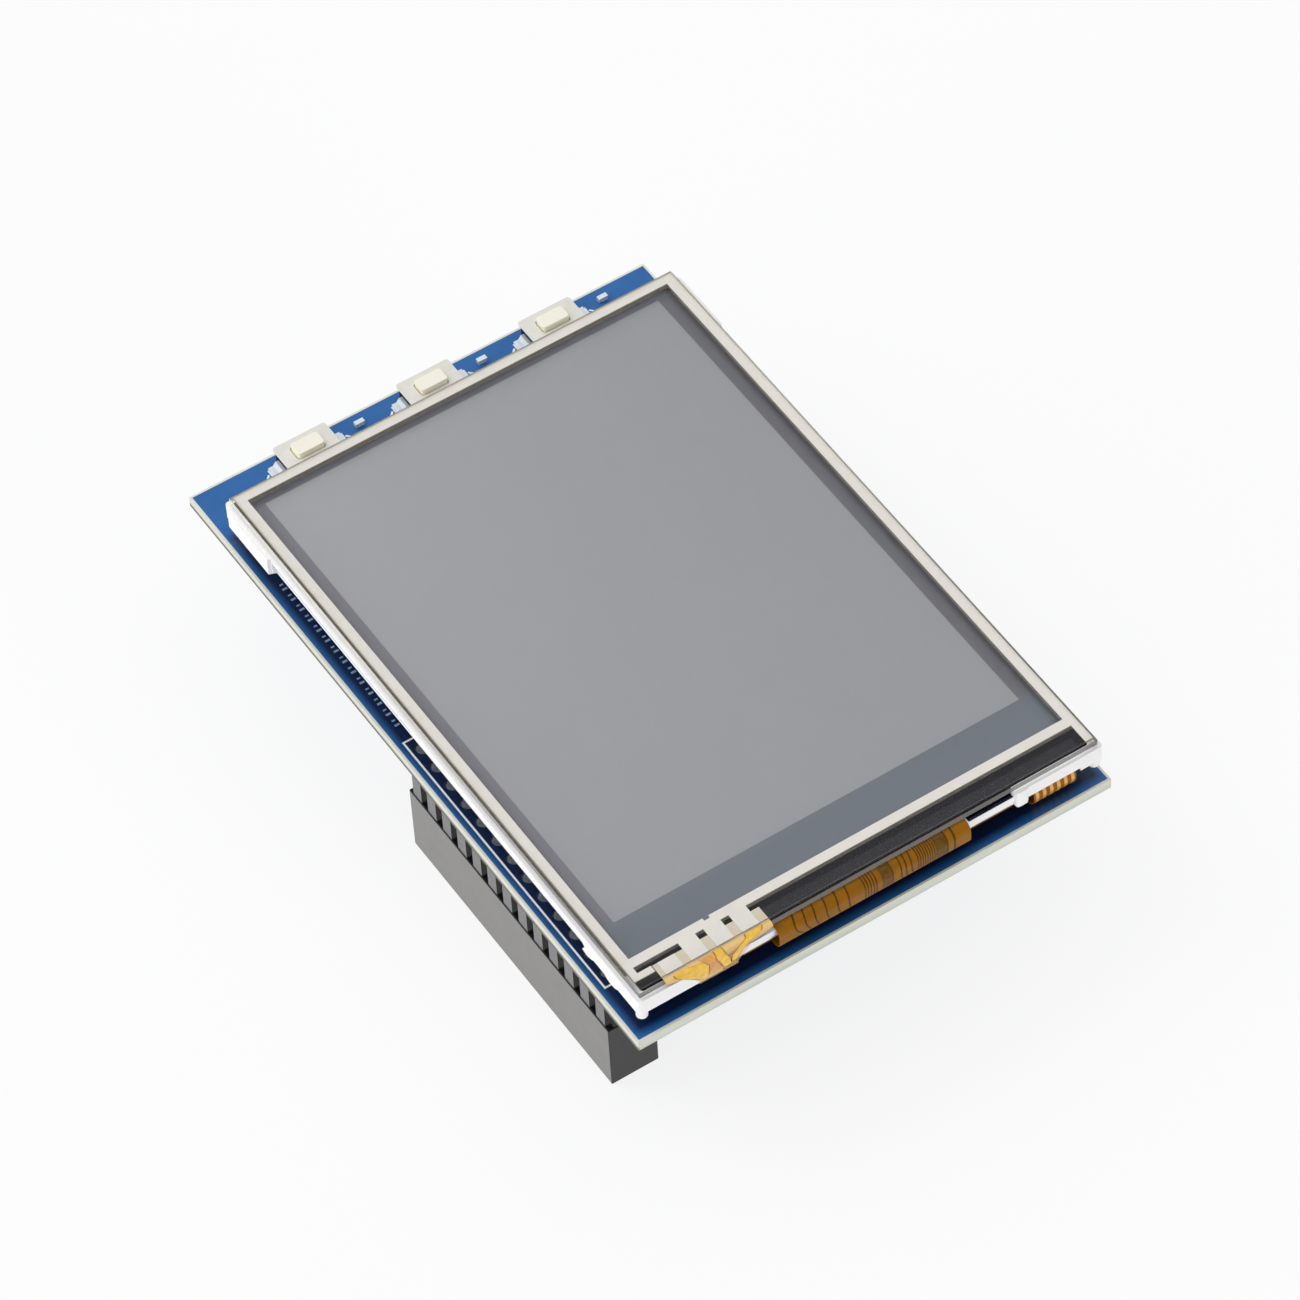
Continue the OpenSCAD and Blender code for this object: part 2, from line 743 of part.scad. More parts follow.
// Touch tail: a wide head under the pads, shoulders that narrow as it bends
// over the near wall, and a narrow end that folds in below the skirt
module touch_tail() {
  head_l = tail_head_l;
  head_r = head_l + (pads - 1) * pad_pitch + pad_w + 1.4;
  mid = (head_l + head_r) / 2 - 0.2;
  neck = tail_w / 2;
  shoulder = 1.5;
  t = ring_t - pad_t;
  turn = 0.5;
  fold_r = 0.3;
  face_y = frame_s - 0.15;
  top_z = ring_z + t;
  fold_z = wall_z - 0.12 - t;
  slope_y = face_y + turn;
  under_y = frame_s + skirt_near - 0.05;
  under_z = panel_z - 0.2;
  slant = 2 * t;
  color("orange", 0.8) intersection() {
    along_x(head_l, head_r) {
      rect(face_y + turn - eps, ring_z, band_s - first_pad_back, top_z);
      quarter_bend(face_y + turn, top_z - turn, turn, t, 0);
      rect(face_y, fold_z + fold_r - eps, face_y + t, top_z - turn + eps);
      quarter_bend(face_y + fold_r, fold_z + fold_r, fold_r, t, 90);
      polygon([[face_y + fold_r - eps, fold_z], [slope_y, fold_z], [under_y, under_z],
               [face_y + 4, under_z], [face_y + 4, under_z + t], [under_y, under_z + slant],
               [slope_y + t, fold_z + t], [face_y + fold_r - eps, fold_z + t]]);
    }
    along_y(frame_s - 2, frame_s + 6)
      polygon([[head_l, ring_z + 1], [head_l, ring_z - 0.2], [mid - neck - shoulder, wall_z + 1.9],
               [mid - neck, wall_z + 0.4], [mid - neck, 0], [mid + neck, 0],
               [mid + neck, wall_z + 0.4], [mid + neck + shoulder, wall_z + 1.9],
               [head_r, ring_z - 0.2], [head_r, ring_z + 1]]);
  }
}

// ---- components under the board ----

// Places children on the underside, so that their +Z points down
module under_board(x, y, turn = 0) {
  translate([x, y, board_z]) rotate([180, 0, turn]) children();
}

controller = [5.5, 12];
controller_size = [5, 4.4];
lamp_driver_at = [14, -19];

module touch_controller() {
  color("black") under_board(controller[0], controller[1])
    translate([-controller_size[0] / 2, -controller_size[1] / 2, 0.1])
      cube([controller_size[0], controller_size[1], 0.95]);
}

// Gull-wing lead: out of the body, down and flat on the board
module gull_lead(w, start, reach, z) {
  t = 0.15;
  along_x(-w / 2, w / 2)
    polygon([[start, z], [start + 0.35, z], [start + 0.35, t], [start + 0.35, 0],
             [start + reach, 0], [start + reach, t], [start + 0.35 + t, t],
             [start + 0.35 + t, z + t], [start, z + t]]);
}

module controller_leads() {
  per_side = 8;
  color("silver") under_board(controller[0], controller[1])
    for (s = [0, 180], i = [0 : per_side - 1])
      rotate([0, 0, s]) translate([(i - (per_side - 1) / 2) * 0.65, 0, 0])
        gull_lead(0.24, controller_size[1] / 2, 1, 0.5);
}

module lamp_driver() {
  color("black") under_board(lamp_driver_at[0], lamp_driver_at[1])
    translate([-1.45, -0.65, 0.1]) cube([2.9, 1.3, 1]);
}

module driver_leads() {
  color("silver") under_board(lamp_driver_at[0], lamp_driver_at[1]) {
    for (x = [-0.95, 0.95]) translate([x, 0, 0]) gull_lead(0.4, 0.65, 0.6, 0.5);
    rotate([0, 0, 180]) gull_lead(0.4, 0.65, 0.6, 0.5);
  }
}

resistor_spots = [for (i = [0 : 4]) [14, 16 - 2 * i], [10, -19], [18, -19]];
capacitor_spots = [[-2, 15], [-2, 9], [5.5, 17.5], [14, 3], [18, -23]];

module chip_resistors() {
  color("black") for (p = resistor_spots) under_board(p[0], p[1]) chip_body(resistor_size);
}

module chip_capacitors() {
  color("tan") for (p = capacitor_spots) under_board(p[0], p[1]) chip_body(capacitor_size);
}

// Solder-coated ends of every chip part
module chip_ends() {
  module ends(size) {
    for (s = [0, 1]) mirror([s, 0, 0])
      translate([size[0] / 2 - chip_end(size), -size[1] / 2, 0])
        cube([chip_end(size), size[1], size[2]]);
  }
  color("silver") {
    for (p = resistor_spots) under_board(p[0], p[1]) ends(resistor_size);
    for (p = capacitor_spots) under_board(p[0], p[1]) ends(capacitor_size);
    at_small_chips() ends(small_chip);
  }
}

circuit_board();
socket_body();
spacer_strip();
socket_contacts();
header_solder();
key_base(1);  // key_base_1
key_base(2);  // key_base_2
key_base(3);  // key_base_3
key_cover(1);  // key_cover_1
key_cover(2);  // key_cover_2
key_cover(3);  // key_cover_3
key_dome(1);  // key_dome_1
key_dome(2);  // key_dome_2
key_dome(3);  // key_dome_3
key_button(1);  // key_button_1
key_button(2);  // key_button_2
key_button(3);  // key_button_3
key_terminals();
key_capacitors();
foam_pad_left();
foam_pad_right();
backlight_frame();
reflector_sheet();
light_guide();
diffuser_film();
lower_prism_film();
upper_prism_film();
lamp_strip();
lamps();
rim_tape();
rear_polariser();
array_glass();
colour_filter_glass();
front_polariser();
driver_chip();
ledge_tape();
panel_flex();
panel_flex_joints();
touch_gasket();
touch_glass();
touch_ring();
touch_pads();
touch_film();
touch_tail();
touch_controller();
controller_leads();
lamp_driver();
driver_leads();
chip_resistors();
chip_capacitors();
chip_ends();
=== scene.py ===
"""Looks of a plug-on touch display: a framed picture panel with a touch layer, on a circuit board with
three keys along its far edge and a two-row pin socket below its left edge."""
import math

import bmesh
import bpy
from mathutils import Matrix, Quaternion, Vector


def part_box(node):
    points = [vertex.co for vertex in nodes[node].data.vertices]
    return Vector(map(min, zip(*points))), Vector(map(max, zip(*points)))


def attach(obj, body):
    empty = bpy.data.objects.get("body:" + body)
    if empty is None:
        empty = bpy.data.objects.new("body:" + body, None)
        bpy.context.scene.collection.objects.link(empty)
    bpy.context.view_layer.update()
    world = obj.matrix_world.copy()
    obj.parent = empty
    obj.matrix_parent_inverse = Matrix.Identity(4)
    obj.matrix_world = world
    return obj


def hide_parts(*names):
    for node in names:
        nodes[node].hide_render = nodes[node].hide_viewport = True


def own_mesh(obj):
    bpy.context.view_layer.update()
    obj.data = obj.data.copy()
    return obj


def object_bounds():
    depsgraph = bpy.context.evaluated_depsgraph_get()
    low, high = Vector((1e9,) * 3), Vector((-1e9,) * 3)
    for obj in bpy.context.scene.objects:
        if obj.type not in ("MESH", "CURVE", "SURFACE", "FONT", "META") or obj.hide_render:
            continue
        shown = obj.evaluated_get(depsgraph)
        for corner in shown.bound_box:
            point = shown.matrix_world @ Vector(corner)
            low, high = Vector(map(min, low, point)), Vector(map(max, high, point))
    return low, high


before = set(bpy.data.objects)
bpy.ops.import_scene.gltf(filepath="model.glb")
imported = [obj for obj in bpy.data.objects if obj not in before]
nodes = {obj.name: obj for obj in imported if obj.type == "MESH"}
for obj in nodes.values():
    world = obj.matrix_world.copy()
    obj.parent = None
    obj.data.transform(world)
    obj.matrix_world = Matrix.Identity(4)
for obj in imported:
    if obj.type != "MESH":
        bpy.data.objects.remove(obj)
cad_box = [list(map(float, corner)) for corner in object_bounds()]
scene = bpy.context.scene
mm = 0.001

# ---- Camera ----
# It looks down over the near left corner of the board with a long lens, so that the long sides stay
# almost parallel. It aims at a point a little right of and in front of the board's middle.
heading = math.radians(30.5)
elevation = math.radians(50.89)
roll = math.radians(-3.65)
distance = 624.7 * mm
focal_length_mm = 190.9
film_width_mm = 36
aim_right = 24.17 * mm
aim_in = 34.71 * mm
aim_up = 2.1 * mm
board_low, board_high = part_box("circuit_board")
aim = Vector((board_low.x + aim_right, board_low.y + aim_in, board_high.z + aim_up))
back = Vector((-math.sin(heading) * math.cos(elevation), -math.cos(heading) * math.cos(elevation),
               math.sin(elevation)))
lens = bpy.data.cameras.new("bench_camera")
lens.lens = focal_length_mm
lens.sensor_width = film_width_mm
camera = bpy.data.objects.new("bench_camera", lens)
camera.location = aim + back * distance
camera.rotation_mode = "QUATERNION"
camera.rotation_quaternion = back.to_track_quat("Z", "Y") @ Quaternion((0, 0, 1), roll)
scene.collection.objects.link(camera)
scene.camera = camera

# ---- Studio ----
# A pale table in a bright room with most of its light from the far side and above, and three soft lamps.
# The table is seen as plain white, and it keeps a faint shadow.
scene.view_settings.view_transform = "Standard"


def add(made, kind, **sockets):
    """New node in a material or world, with its input sockets set by name."""
    node = made.node_tree.nodes.new(kind)
    for name, value in sockets.items():
        node.inputs[name.replace("_", " ")].default_value = value
    return node


def join(made, source, target):
    made.node_tree.links.new(source, target)


def combine(made, operation, first, second):
    """Two sockets, or a socket and a number, through one Math node."""
    node = add(made, "ShaderNodeMath")
    node.operation = operation
    for socket, value in zip(node.inputs, (first, second)):
        if isinstance(value, bpy.types.NodeSocket):
            join(made, value, socket)
        else:
            socket.default_value = value
    return node.outputs[0]


def ramp_between(made, value, start, end, low=0.0, high=1.0, kind="LINEAR"):
    """Value carried from start..end to low..high, and held outside."""
    ramp = add(made, "ShaderNodeMapRange")
    ramp.interpolation_type = kind
    for name, number in (("From Min", start), ("From Max", end), ("To Min", low), ("To Max", high)):
        ramp.inputs[name].default_value = number
    join(made, value, ramp.inputs["Value"])
    return ramp.outputs["Result"]


def seen_or_mirrored(made):
    """1 on rays from the camera, from gloss and through glass, and 0 on all others."""
    path = add(made, "ShaderNodeLightPath")
    seen = combine(made, "MAXIMUM", path.outputs["Is Camera Ray"], path.outputs["Is Glossy Ray"])
    return combine(made, "MAXIMUM", seen, path.outputs["Is Transmission Ray"])


def end_in_mix(made, share, first, second, output_kind):
    """Ends a material or world in the mix of two shaders."""
    both = add(made, "ShaderNodeMixShader")
    join(made, share, both.inputs["Fac"])
    join(made, first.outputs[0], both.inputs[1])
    join(made, second.outputs[0], both.inputs[2])
    join(made, both.outputs[0], add(made, output_kind).inputs["Surface"])


table_white = 0.99
table_share = 0.85
table_shade = 0.86
table = bpy.data.materials.new("table_white")
table.use_nodes = True
table.node_tree.nodes.clear()
matt = add(table, "ShaderNodeBsdfDiffuse", Color=(table_shade, table_shade, table_shade, 1))
glow = add(table, "ShaderNodeEmission", Color=(table_white, table_white, table_white, 1))
end_in_mix(table, combine(table, "MULTIPLY", seen_or_mirrored(table), table_share), matt, glow,
           "ShaderNodeOutputMaterial")

table_half = 1500 * mm
table_z = cad_box[0][2] - 0.02 * mm
table_mesh = bpy.data.meshes.new("table")
table_mesh.from_pydata([(x * table_half, y * table_half, table_z) for x, y in
                        ((-1, -1), (1, -1), (1, 1), (-1, 1))], [], [(0, 1, 2, 3)])
table_mesh.materials.append(table)
table_top = bpy.data.objects.new("table", table_mesh)
scene.collection.objects.link(table_top)

window_way = Vector((-0.2, 0.62, 0.76)).normalized()
dark_side, window_side = 0.12, 1.2
room = bpy.data.worlds.new("room")
scene.world = room
room.use_nodes = True
room.node_tree.nodes.clear()
sky_way = add(room, "ShaderNodeTexCoord").outputs["Generated"]
towards_window = add(room, "ShaderNodeVectorMath")
towards_window.operation = "DOT_PRODUCT"
towards_window.inputs[1].default_value = window_way
join(room, sky_way, towards_window.inputs[0])
ambient = add(room, "ShaderNodeBackground", Color=(0.985, 0.99, 1, 1))
join(room, ramp_between(room, towards_window.outputs["Value"], -0.3, 1, dark_side, window_side, "SMOOTHSTEP"),
     ambient.inputs["Strength"])
sky_axes = add(room, "ShaderNodeSeparateXYZ")
join(room, sky_way, sky_axes.inputs[0])
mirrored_room = add(room, "ShaderNodeBackground")
join(room, ramp_between(room, sky_axes.outputs["Z"], 0.15, 0.75, 1, 0.8), mirrored_room.inputs["Strength"])
end_in_mix(room, seen_or_mirrored(room), ambient, mirrored_room, "ShaderNodeOutputWorld")


def soft_lamp(name, place, size, watts):
    """Square lamp that faces the object."""
    data = bpy.data.lights.new(name, "AREA")
    data.shape = "SQUARE"
    data.size = size
    data.energy = watts
    lamp = bpy.data.objects.new(name, data)
    lamp.location = place
    lamp.rotation_mode = "QUATERNION"
    lamp.rotation_quaternion = (Vector(place) - aim).to_track_quat("Z", "Y")
    lamp.visible_glossy = False
    scene.collection.objects.link(lamp)


soft_lamp("high_far_lamp", (-0.9, 1.0, 1.5), 0.8, 8)
soft_lamp("low_left_lamp", (-1.4, -0.2, 0.22), 0.4, 4.5)
soft_lamp("low_front_lamp", (0.3, -1.4, 0.22), 0.4, 7)

# ---- Circuit board ----
# Glass fibre board under blue lacquer, routed to size. The lacquer stops short of the cut edges, where
# the pale layers show, and painted shade makes it nearly black in the shelter of the display.


def surface(name, color, roughness, metallic=0.0, specular=0.5, alpha=1.0):
    """New material on one Principled shader, with what is even all over set on its own sockets."""
    made = bpy.data.materials.new(name)
    made.use_nodes = True
    shader = made.node_tree.nodes["Principled BSDF"]
    shader.inputs["Base Color"].default_value = (*color, 1)
    shader.inputs["Roughness"].default_value = roughness
    shader.inputs["Metallic"].default_value = metallic
    shader.inputs["Specular IOR Level"].default_value = specular
    shader.inputs["Alpha"].default_value = alpha
    return made


def main_shader(made):
    return made.node_tree.nodes["Principled BSDF"]


def color_by(made, color):
    join(made, color, main_shader(made).inputs["Base Color"])


def place_of(made, kind="Object"):
    """The three object coordinates of a material in metres, or the three parts of its normal."""
    axes = add(made, "ShaderNodeSeparateXYZ")
    join(made, add(made, "ShaderNodeTexCoord").outputs[kind], axes.inputs[0])
    return axes.outputs


def noise(made, grain_mm, detail=3.0, stretch=(1, 1, 1)):
    """Noise in object space, with lumps of about grain_mm."""
    scaled = add(made, "ShaderNodeMapping", Scale=stretch)
    join(made, add(made, "ShaderNodeTexCoord").outputs["Object"], scaled.inputs["Vector"])
    lumps = add(made, "ShaderNodeTexNoise", Scale=1 / (grain_mm * mm), Detail=detail)
    join(made, scaled.outputs["Vector"], lumps.inputs["Vector"])
    return lumps.outputs["Fac"]


def patchy(made, grain_mm, low=0.0, high=1.0):
    """Noise spread over low..high."""
    return ramp_between(made, noise(made, grain_mm), 0.3, 0.7, low, high)


def mix_colors(made, factor, low, high):
    """Colour between low and high; each is a colour or a socket."""
    blend = add(made, "ShaderNodeMix")
    blend.data_type = "RGBA"
    join(made, factor, blend.inputs["Factor"])
    for slot, value in (("A", low), ("B", high)):
        socket = next(s for s in blend.inputs if s.name == slot and s.type == "RGBA")
        if isinstance(value, bpy.types.NodeSocket):
            join(made, value, socket)
        else:
            socket.default_value = (*value, 1)
    return next(s for s in blend.outputs if s.type == "RGBA")


def roughen(made, grain_mm, height_mm, strength=0.3, stretch=(1, 1, 1)):
    """Gives a material a fine relief."""
    relief = add(made, "ShaderNodeBump", Strength=strength, Distance=height_mm * mm)
    join(made, noise(made, grain_mm, 2.0, stretch), relief.inputs["Height"])
    join(made, relief.outputs["Normal"], main_shader(made).inputs["Normal"])


def dress(made, *names):
    """Puts a material on CAD nodes or pieces."""
    for name in names:
        mesh = bpy.data.objects[name].data
        mesh.materials.clear()
        mesh.materials.append(made)


def inside_box(made, axes, x0, x1, y0, y1, soft):
    """1 inside a rectangle in plan, 0 outside, with a soft edge of that width."""
    value = None
    for axis, low, high in (("X", x0, x1), ("Y", y0, y1)):
        for edge, sign in ((low, 1), (high, -1)):
            side = ramp_between(made, axes[axis], edge - sign * soft / 2, edge + sign * soft / 2)
            value = side if value is None else combine(made, "MULTIPLY", value, side)
    return value


def upright_part(made):
    """1 on faces that stand upright, 0 on level ones."""
    return combine(made, "LESS_THAN", combine(made, "ABSOLUTE", place_of(made, "Normal")["Z"], 0), 0.5)


bare_margin = 0.22 * mm
lacquer_gloss, margin_gloss = 0.26, 0.7
ply = 0.35 * mm
frame_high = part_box("backlight_frame")[1]
board_lacquer = surface("board_lacquer", (0.012, 0.112, 0.350), lacquer_gloss, specular=0.42)
axes = place_of(board_lacquer)
lacquered = inside_box(board_lacquer, axes, board_low.x + bare_margin, board_high.x - bare_margin,
                       board_low.y + bare_margin, board_high.y - bare_margin, 0.06 * mm)
blue = mix_colors(board_lacquer, patchy(board_lacquer, 3.0), (0.012, 0.108, 0.335), (0.017, 0.128, 0.375))
# Painted shade: the lacquer under the display's overhang is darkened to nearly black in its colour.
painted_shade_under_display = inside_box(board_lacquer, axes, board_low.x + 0.6 * mm, board_high.x - 0.6 * mm,
                       board_low.y + 0.85 * mm, frame_high.y - 0.1 * mm, 0.9 * mm)
upper_face = combine(board_lacquer, "GREATER_THAN", axes["Z"], board_high.z - 0.1 * mm)
painted_shade_under_display = combine(board_lacquer, "MULTIPLY", painted_shade_under_display, upper_face)
blue = mix_colors(board_lacquer, painted_shade_under_display, blue, (0.002, 0.012, 0.055))
margin = mix_colors(board_lacquer, noise(board_lacquer, 0.4), (0.68, 0.67, 0.58), (0.80, 0.78, 0.69))
face = mix_colors(board_lacquer, lacquered, margin, blue)
plies = add(board_lacquer, "ShaderNodeTexWave", Scale=1 / ply / 20, Distortion=1.5)
plies.bands_direction = "Z"
join(board_lacquer, add(board_lacquer, "ShaderNodeTexCoord").outputs["Object"], plies.inputs["Vector"])
cut_side = mix_colors(board_lacquer, plies.outputs["Fac"], (0.54, 0.56, 0.48), (0.68, 0.69, 0.61))
# Painted shadow: the foot of the long left cut side, just above the spacer strip, is darkened in its colour.
painted_spacer_shadow = combine(board_lacquer, "MULTIPLY",
                     ramp_between(board_lacquer, axes["Z"], board_low.z + 0.55 * mm, board_low.z + 0.3 * mm),
                     combine(board_lacquer, "LESS_THAN", axes["X"], board_low.x + 0.1 * mm))
cut_side = mix_colors(board_lacquer, painted_spacer_shadow, cut_side, (0.17, 0.155, 0.125))
color_by(board_lacquer, mix_colors(board_lacquer, upright_part(board_lacquer), face, cut_side))
join(board_lacquer, ramp_between(board_lacquer, lacquered, 0, 1, margin_gloss, lacquer_gloss),
     main_shader(board_lacquer).inputs["Roughness"])
roughen(board_lacquer, 0.5, 0.01, 0.12)
dress(board_lacquer, "circuit_board")

# ---- Tracks, vias and print ----
# Copper tracks and via rings stand up a little under the lacquer of the lower face. The white print is
# plain outlines and ticks, screened on both faces; the ticks carry painted shade as a dim blue-grey.


def mottled(name, color, roughness, change, grain_mm, **more):
    """New material with a slightly uneven colour."""
    made = surface(name, color, roughness, **more)
    low = [max(0, c * (1 - change)) for c in color]
    high = [min(1, c * (1 + change)) for c in color]
    color_by(made, mix_colors(made, patchy(made, grain_mm), low, high))
    return made


def band(solid, stations):
    """Adds a closed strip through stations of four corners: left low, left high, right low, right high."""
    points, faces = solid
    first = len(points)
    for corners in stations:
        points.extend(tuple(corner) for corner in corners)
    last = len(points) - 4
    for a in range(first, last, 4):
        faces.extend([(a + 1, a + 3, a + 7, a + 5), (a, a + 4, a + 6, a + 2),
                      (a, a + 1, a + 5, a + 4), (a + 2, a + 6, a + 7, a + 3)])
    faces.extend([(first, first + 2, first + 3, first + 1), (last, last + 1, last + 3, last + 2)])


def flat_line(solid, line, width, low, high):
    """Adds a level strip along a line in plan, with mitred corners, between two heights."""
    line = [Vector(point) for point in line]
    stations = []
    for i, here in enumerate(line):
        steps = [(line[j + 1] - line[j]).normalized() for j in (i - 1, i) if 0 <= j < len(line) - 1]
        sides = [Vector((-step.y, step.x)) for step in steps]
        across = sum(sides, Vector((0, 0))).normalized()
        across *= width / 2 / max(0.5, across.dot(sides[0]))
        left, right = here + across, here - across
        stations.append([(left.x, left.y, low), (left.x, left.y, high),
                         (right.x, right.y, low), (right.x, right.y, high)])
    band(solid, stations)


def outline(solid, x0, y0, x1, y1, width, low, high):
    """Adds the four sides of a rectangle in plan."""
    half = width / 2
    for line in ([(x0 - half, y0), (x1 + half, y0)], [(x0 - half, y1), (x1 + half, y1)],
                 [(x0, y0 + half), (x0, y1 - half)], [(x1, y0 + half), (x1, y1 - half)]):
        flat_line(solid, line, width, low, high)


def ring(solid, x, y, inner, outer, low, high, sides=16):
    """Adds a flat ring about a vertical axis."""
    points, faces = solid
    first = len(points)
    for k in range(sides):
        turn = 2 * math.pi * k / sides
        for radius in (inner, outer):
            for height in (low, high):
                points.append((x + radius * math.cos(turn), y + radius * math.sin(turn), height))
    for k in range(sides):
        a = first + 4 * k
        b = first + 4 * ((k + 1) % sides)
        faces.extend([(a + 1, a + 3, b + 3, b + 1), (a, b, b + 2, a + 2),
                      (a, a + 1, b + 1, b), (a + 2, b + 2, b + 3, a + 3)])


def piece_from(name, solid, finish):
    """Mesh object at the origin, its loose solids closed and facing outwards."""
    mesh = bpy.data.meshes.new(name)
    mesh.from_pydata(solid[0], [], solid[1])
    built = bmesh.new()
    built.from_mesh(mesh)
    bmesh.ops.recalc_face_normals(built, faces=built.faces)
    built.to_mesh(mesh)
    built.free()
    mesh.materials.append(finish)
    piece = bpy.data.objects.new(name, mesh)
    scene.collection.objects.link(piece)
    return piece


def settle(piece):
    """Makes what the modifiers show the piece's own plain mesh."""
    bpy.context.view_layer.update()
    shown = piece.evaluated_get(bpy.context.evaluated_depsgraph_get())
    mesh = bpy.data.meshes.new_from_object(shown)
    piece.modifiers.clear()
    piece.data = mesh


def fix_to_module(piece):
    """The piece rides on the module."""
    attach(piece, "module")


row_tree = bpy.data.node_groups.new("row_of_pieces", "GeometryNodeTree")
row_sockets = {}
for label, kind in (("Piece", "Geometry"), ("Count", "Int"), ("Step", "Vector"), ("Finish", "Material")):
    socket = row_tree.interface.new_socket(label, in_out="INPUT", socket_type="NodeSocket" + kind)
    row_sockets[label] = socket.identifier
row_tree.interface.new_socket("Piece", in_out="OUTPUT", socket_type="NodeSocketGeometry")
row_in = row_tree.nodes.new("NodeGroupInput")
row_out = row_tree.nodes.new("NodeGroupOutput")
row_points = row_tree.nodes.new("GeometryNodeMeshLine")
row_points.mode = "OFFSET"
row_copies = row_tree.nodes.new("GeometryNodeInstanceOnPoints")
row_real = row_tree.nodes.new("GeometryNodeRealizeInstances")
row_finish = row_tree.nodes.new("GeometryNodeSetMaterial")
for source, target in ((row_in.outputs["Count"], row_points.inputs["Count"]),
                       (row_in.outputs["Step"], row_points.inputs["Offset"]),
                       (row_points.outputs["Mesh"], row_copies.inputs["Points"]),
                       (row_in.outputs["Piece"], row_copies.inputs["Instance"]),
                       (row_copies.outputs["Instances"], row_real.inputs["Geometry"]),
                       (row_real.outputs["Geometry"], row_finish.inputs["Geometry"]),
                       (row_in.outputs["Finish"], row_finish.inputs["Material"]),
                       (row_finish.outputs["Geometry"], row_out.inputs["Piece"])):
    row_tree.links.new(source, target)


def in_a_row(name, solid, count, step, finish):
    """Repeats a small solid in a row, and leaves one plain mesh."""
    piece = piece_from(name, solid, finish)
    row = piece.modifiers.new("row", "NODES")
    row.node_group = row_tree
    row[row_sockets["Count"]] = count
    row[row_sockets["Step"]] = step
    row[row_sockets["Finish"]] = finish
    settle(piece)
    return piece


board_top = board_high.z
board_under = board_low.z
socket_low, socket_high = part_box("socket_body")
chip_low, chip_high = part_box("touch_controller")
chip_x = (chip_low.x + chip_high.x) / 2
row_x = (socket_low.x + socket_high.x) / 2
row_y = (socket_low.y + socket_high.y) / 2
pitch = 2.54 * mm
contacts_in_row = 13
end_pin = contacts_in_row // 2
chip_pitch = 0.65 * mm
key_step = 13.6 * mm
key_land = 3.6 * mm
key_row_y = 35 * mm
resistor_x = 14 * mm
resistor_rows = [(8 + 2 * i) * mm for i in range(5)]
track_w = 0.25 * mm
supply_w = 0.5 * mm
track_t = 0.03 * mm
under = (board_under - track_t, board_under)
track_blue = mottled("track_lacquer", (0.02, 0.16, 0.42), 0.24, 0.08, 1.5)
roughen(track_blue, 0.4, 0.01, 0.15)
tracks = ([], [])
for i in range(8):
    pin_y = row_y + (end_pin - i) * pitch
    lead_x = chip_x + (i - 3.5) * chip_pitch
    turn = 1.2 * mm
    flat_line(tracks, [(row_x + 2.9 * mm, pin_y), (lead_x - turn, pin_y), (lead_x, pin_y + turn),
                       (lead_x, chip_low.y - 1.4 * mm)], track_w, *under)
for i, y in enumerate(resistor_rows):
    flat_line(tracks, [(resistor_x + 0.9 * mm, y), (resistor_x + 3.2 * mm, y)], track_w, *under)
    flat_line(tracks, [(resistor_x - 0.9 * mm, y), (resistor_x - (2.8 + 0.3 * i) * mm, y)], track_w, *under)
for i, key_x in enumerate((-key_step, 0, key_step)):
    down_x = (-11 - 1.1 * i) * mm
    across_y = (28 - 1.5 * i) * mm
    flat_line(tracks, [(key_x + key_land, key_row_y), (key_x + key_land, across_y),
                       (down_x + 1.2 * mm, across_y), (down_x, across_y - 1.2 * mm),
                       (down_x, row_y + end_pin * pitch + (2 + i) * mm)], track_w, *under)
for y in (-19 * mm, -23 * mm):
    flat_line(tracks, [(9 * mm, y), (6.5 * mm, y), (4.5 * mm, y + 2 * mm), (-8 * mm, y + 2 * mm)],
              supply_w, *under)
fix_to_module(piece_from("board_tracks", tracks, track_blue))

via_hole_r = 0.16 * mm
via_ring_r = 0.34 * mm
via_t = 0.04 * mm
via_tin = mottled("via_tin", (0.62, 0.63, 0.62), 0.3, 0.15, 0.2, metallic=1)
roughen(via_tin, 0.1, 0.01, 0.3)
for name, x, y, count, step in (
        ("board_vias_inner", row_x + 4.4 * mm, row_y - end_pin * pitch, contacts_in_row, (0, pitch, 0)),
        ("board_vias_side", resistor_x + 3.5 * mm, resistor_rows[0], len(resistor_rows), (0, 2 * mm, 0)),
        ("board_vias_far", -key_step + key_land, key_row_y, 3, (key_step, 0, 0))):
    via = ([], [])
    ring(via, x, y, via_hole_r, via_ring_r, board_under - via_t, board_under)
    fix_to_module(in_a_row(name, via, count, step, via_tin))

ink_w = 0.19 * mm
ink_t = 0.015 * mm
over = (board_top, board_top + ink_t)
below = (board_under - ink_t, board_under)
socket_print_x = 2.52 * mm
socket_print_y = contacts_in_row * pitch / 2 + 0.17 * mm
board_ink = mottled("board_ink", (0.80, 0.84, 0.88), 0.6, 0.06, 0.3)
roughen(board_ink, 0.1, 0.01, 0.3)
ink = ([], [])
for level in (over, below):
    outline(ink, row_x - socket_print_x, row_y - socket_print_y, row_x + socket_print_x,
            row_y + socket_print_y, ink_w, *level)
outline(ink, chip_low.x - 0.3 * mm, chip_low.y + 0.1 * mm, chip_high.x + 0.3 * mm, chip_high.y - 0.1 * mm,
        ink_w, *below)
for y in resistor_rows:
    for side_y in (y - 0.7 * mm, y + 0.7 * mm):
        flat_line(ink, [(resistor_x - 1 * mm, side_y), (resistor_x + 1 * mm, side_y)], 0.12 * mm, *below)
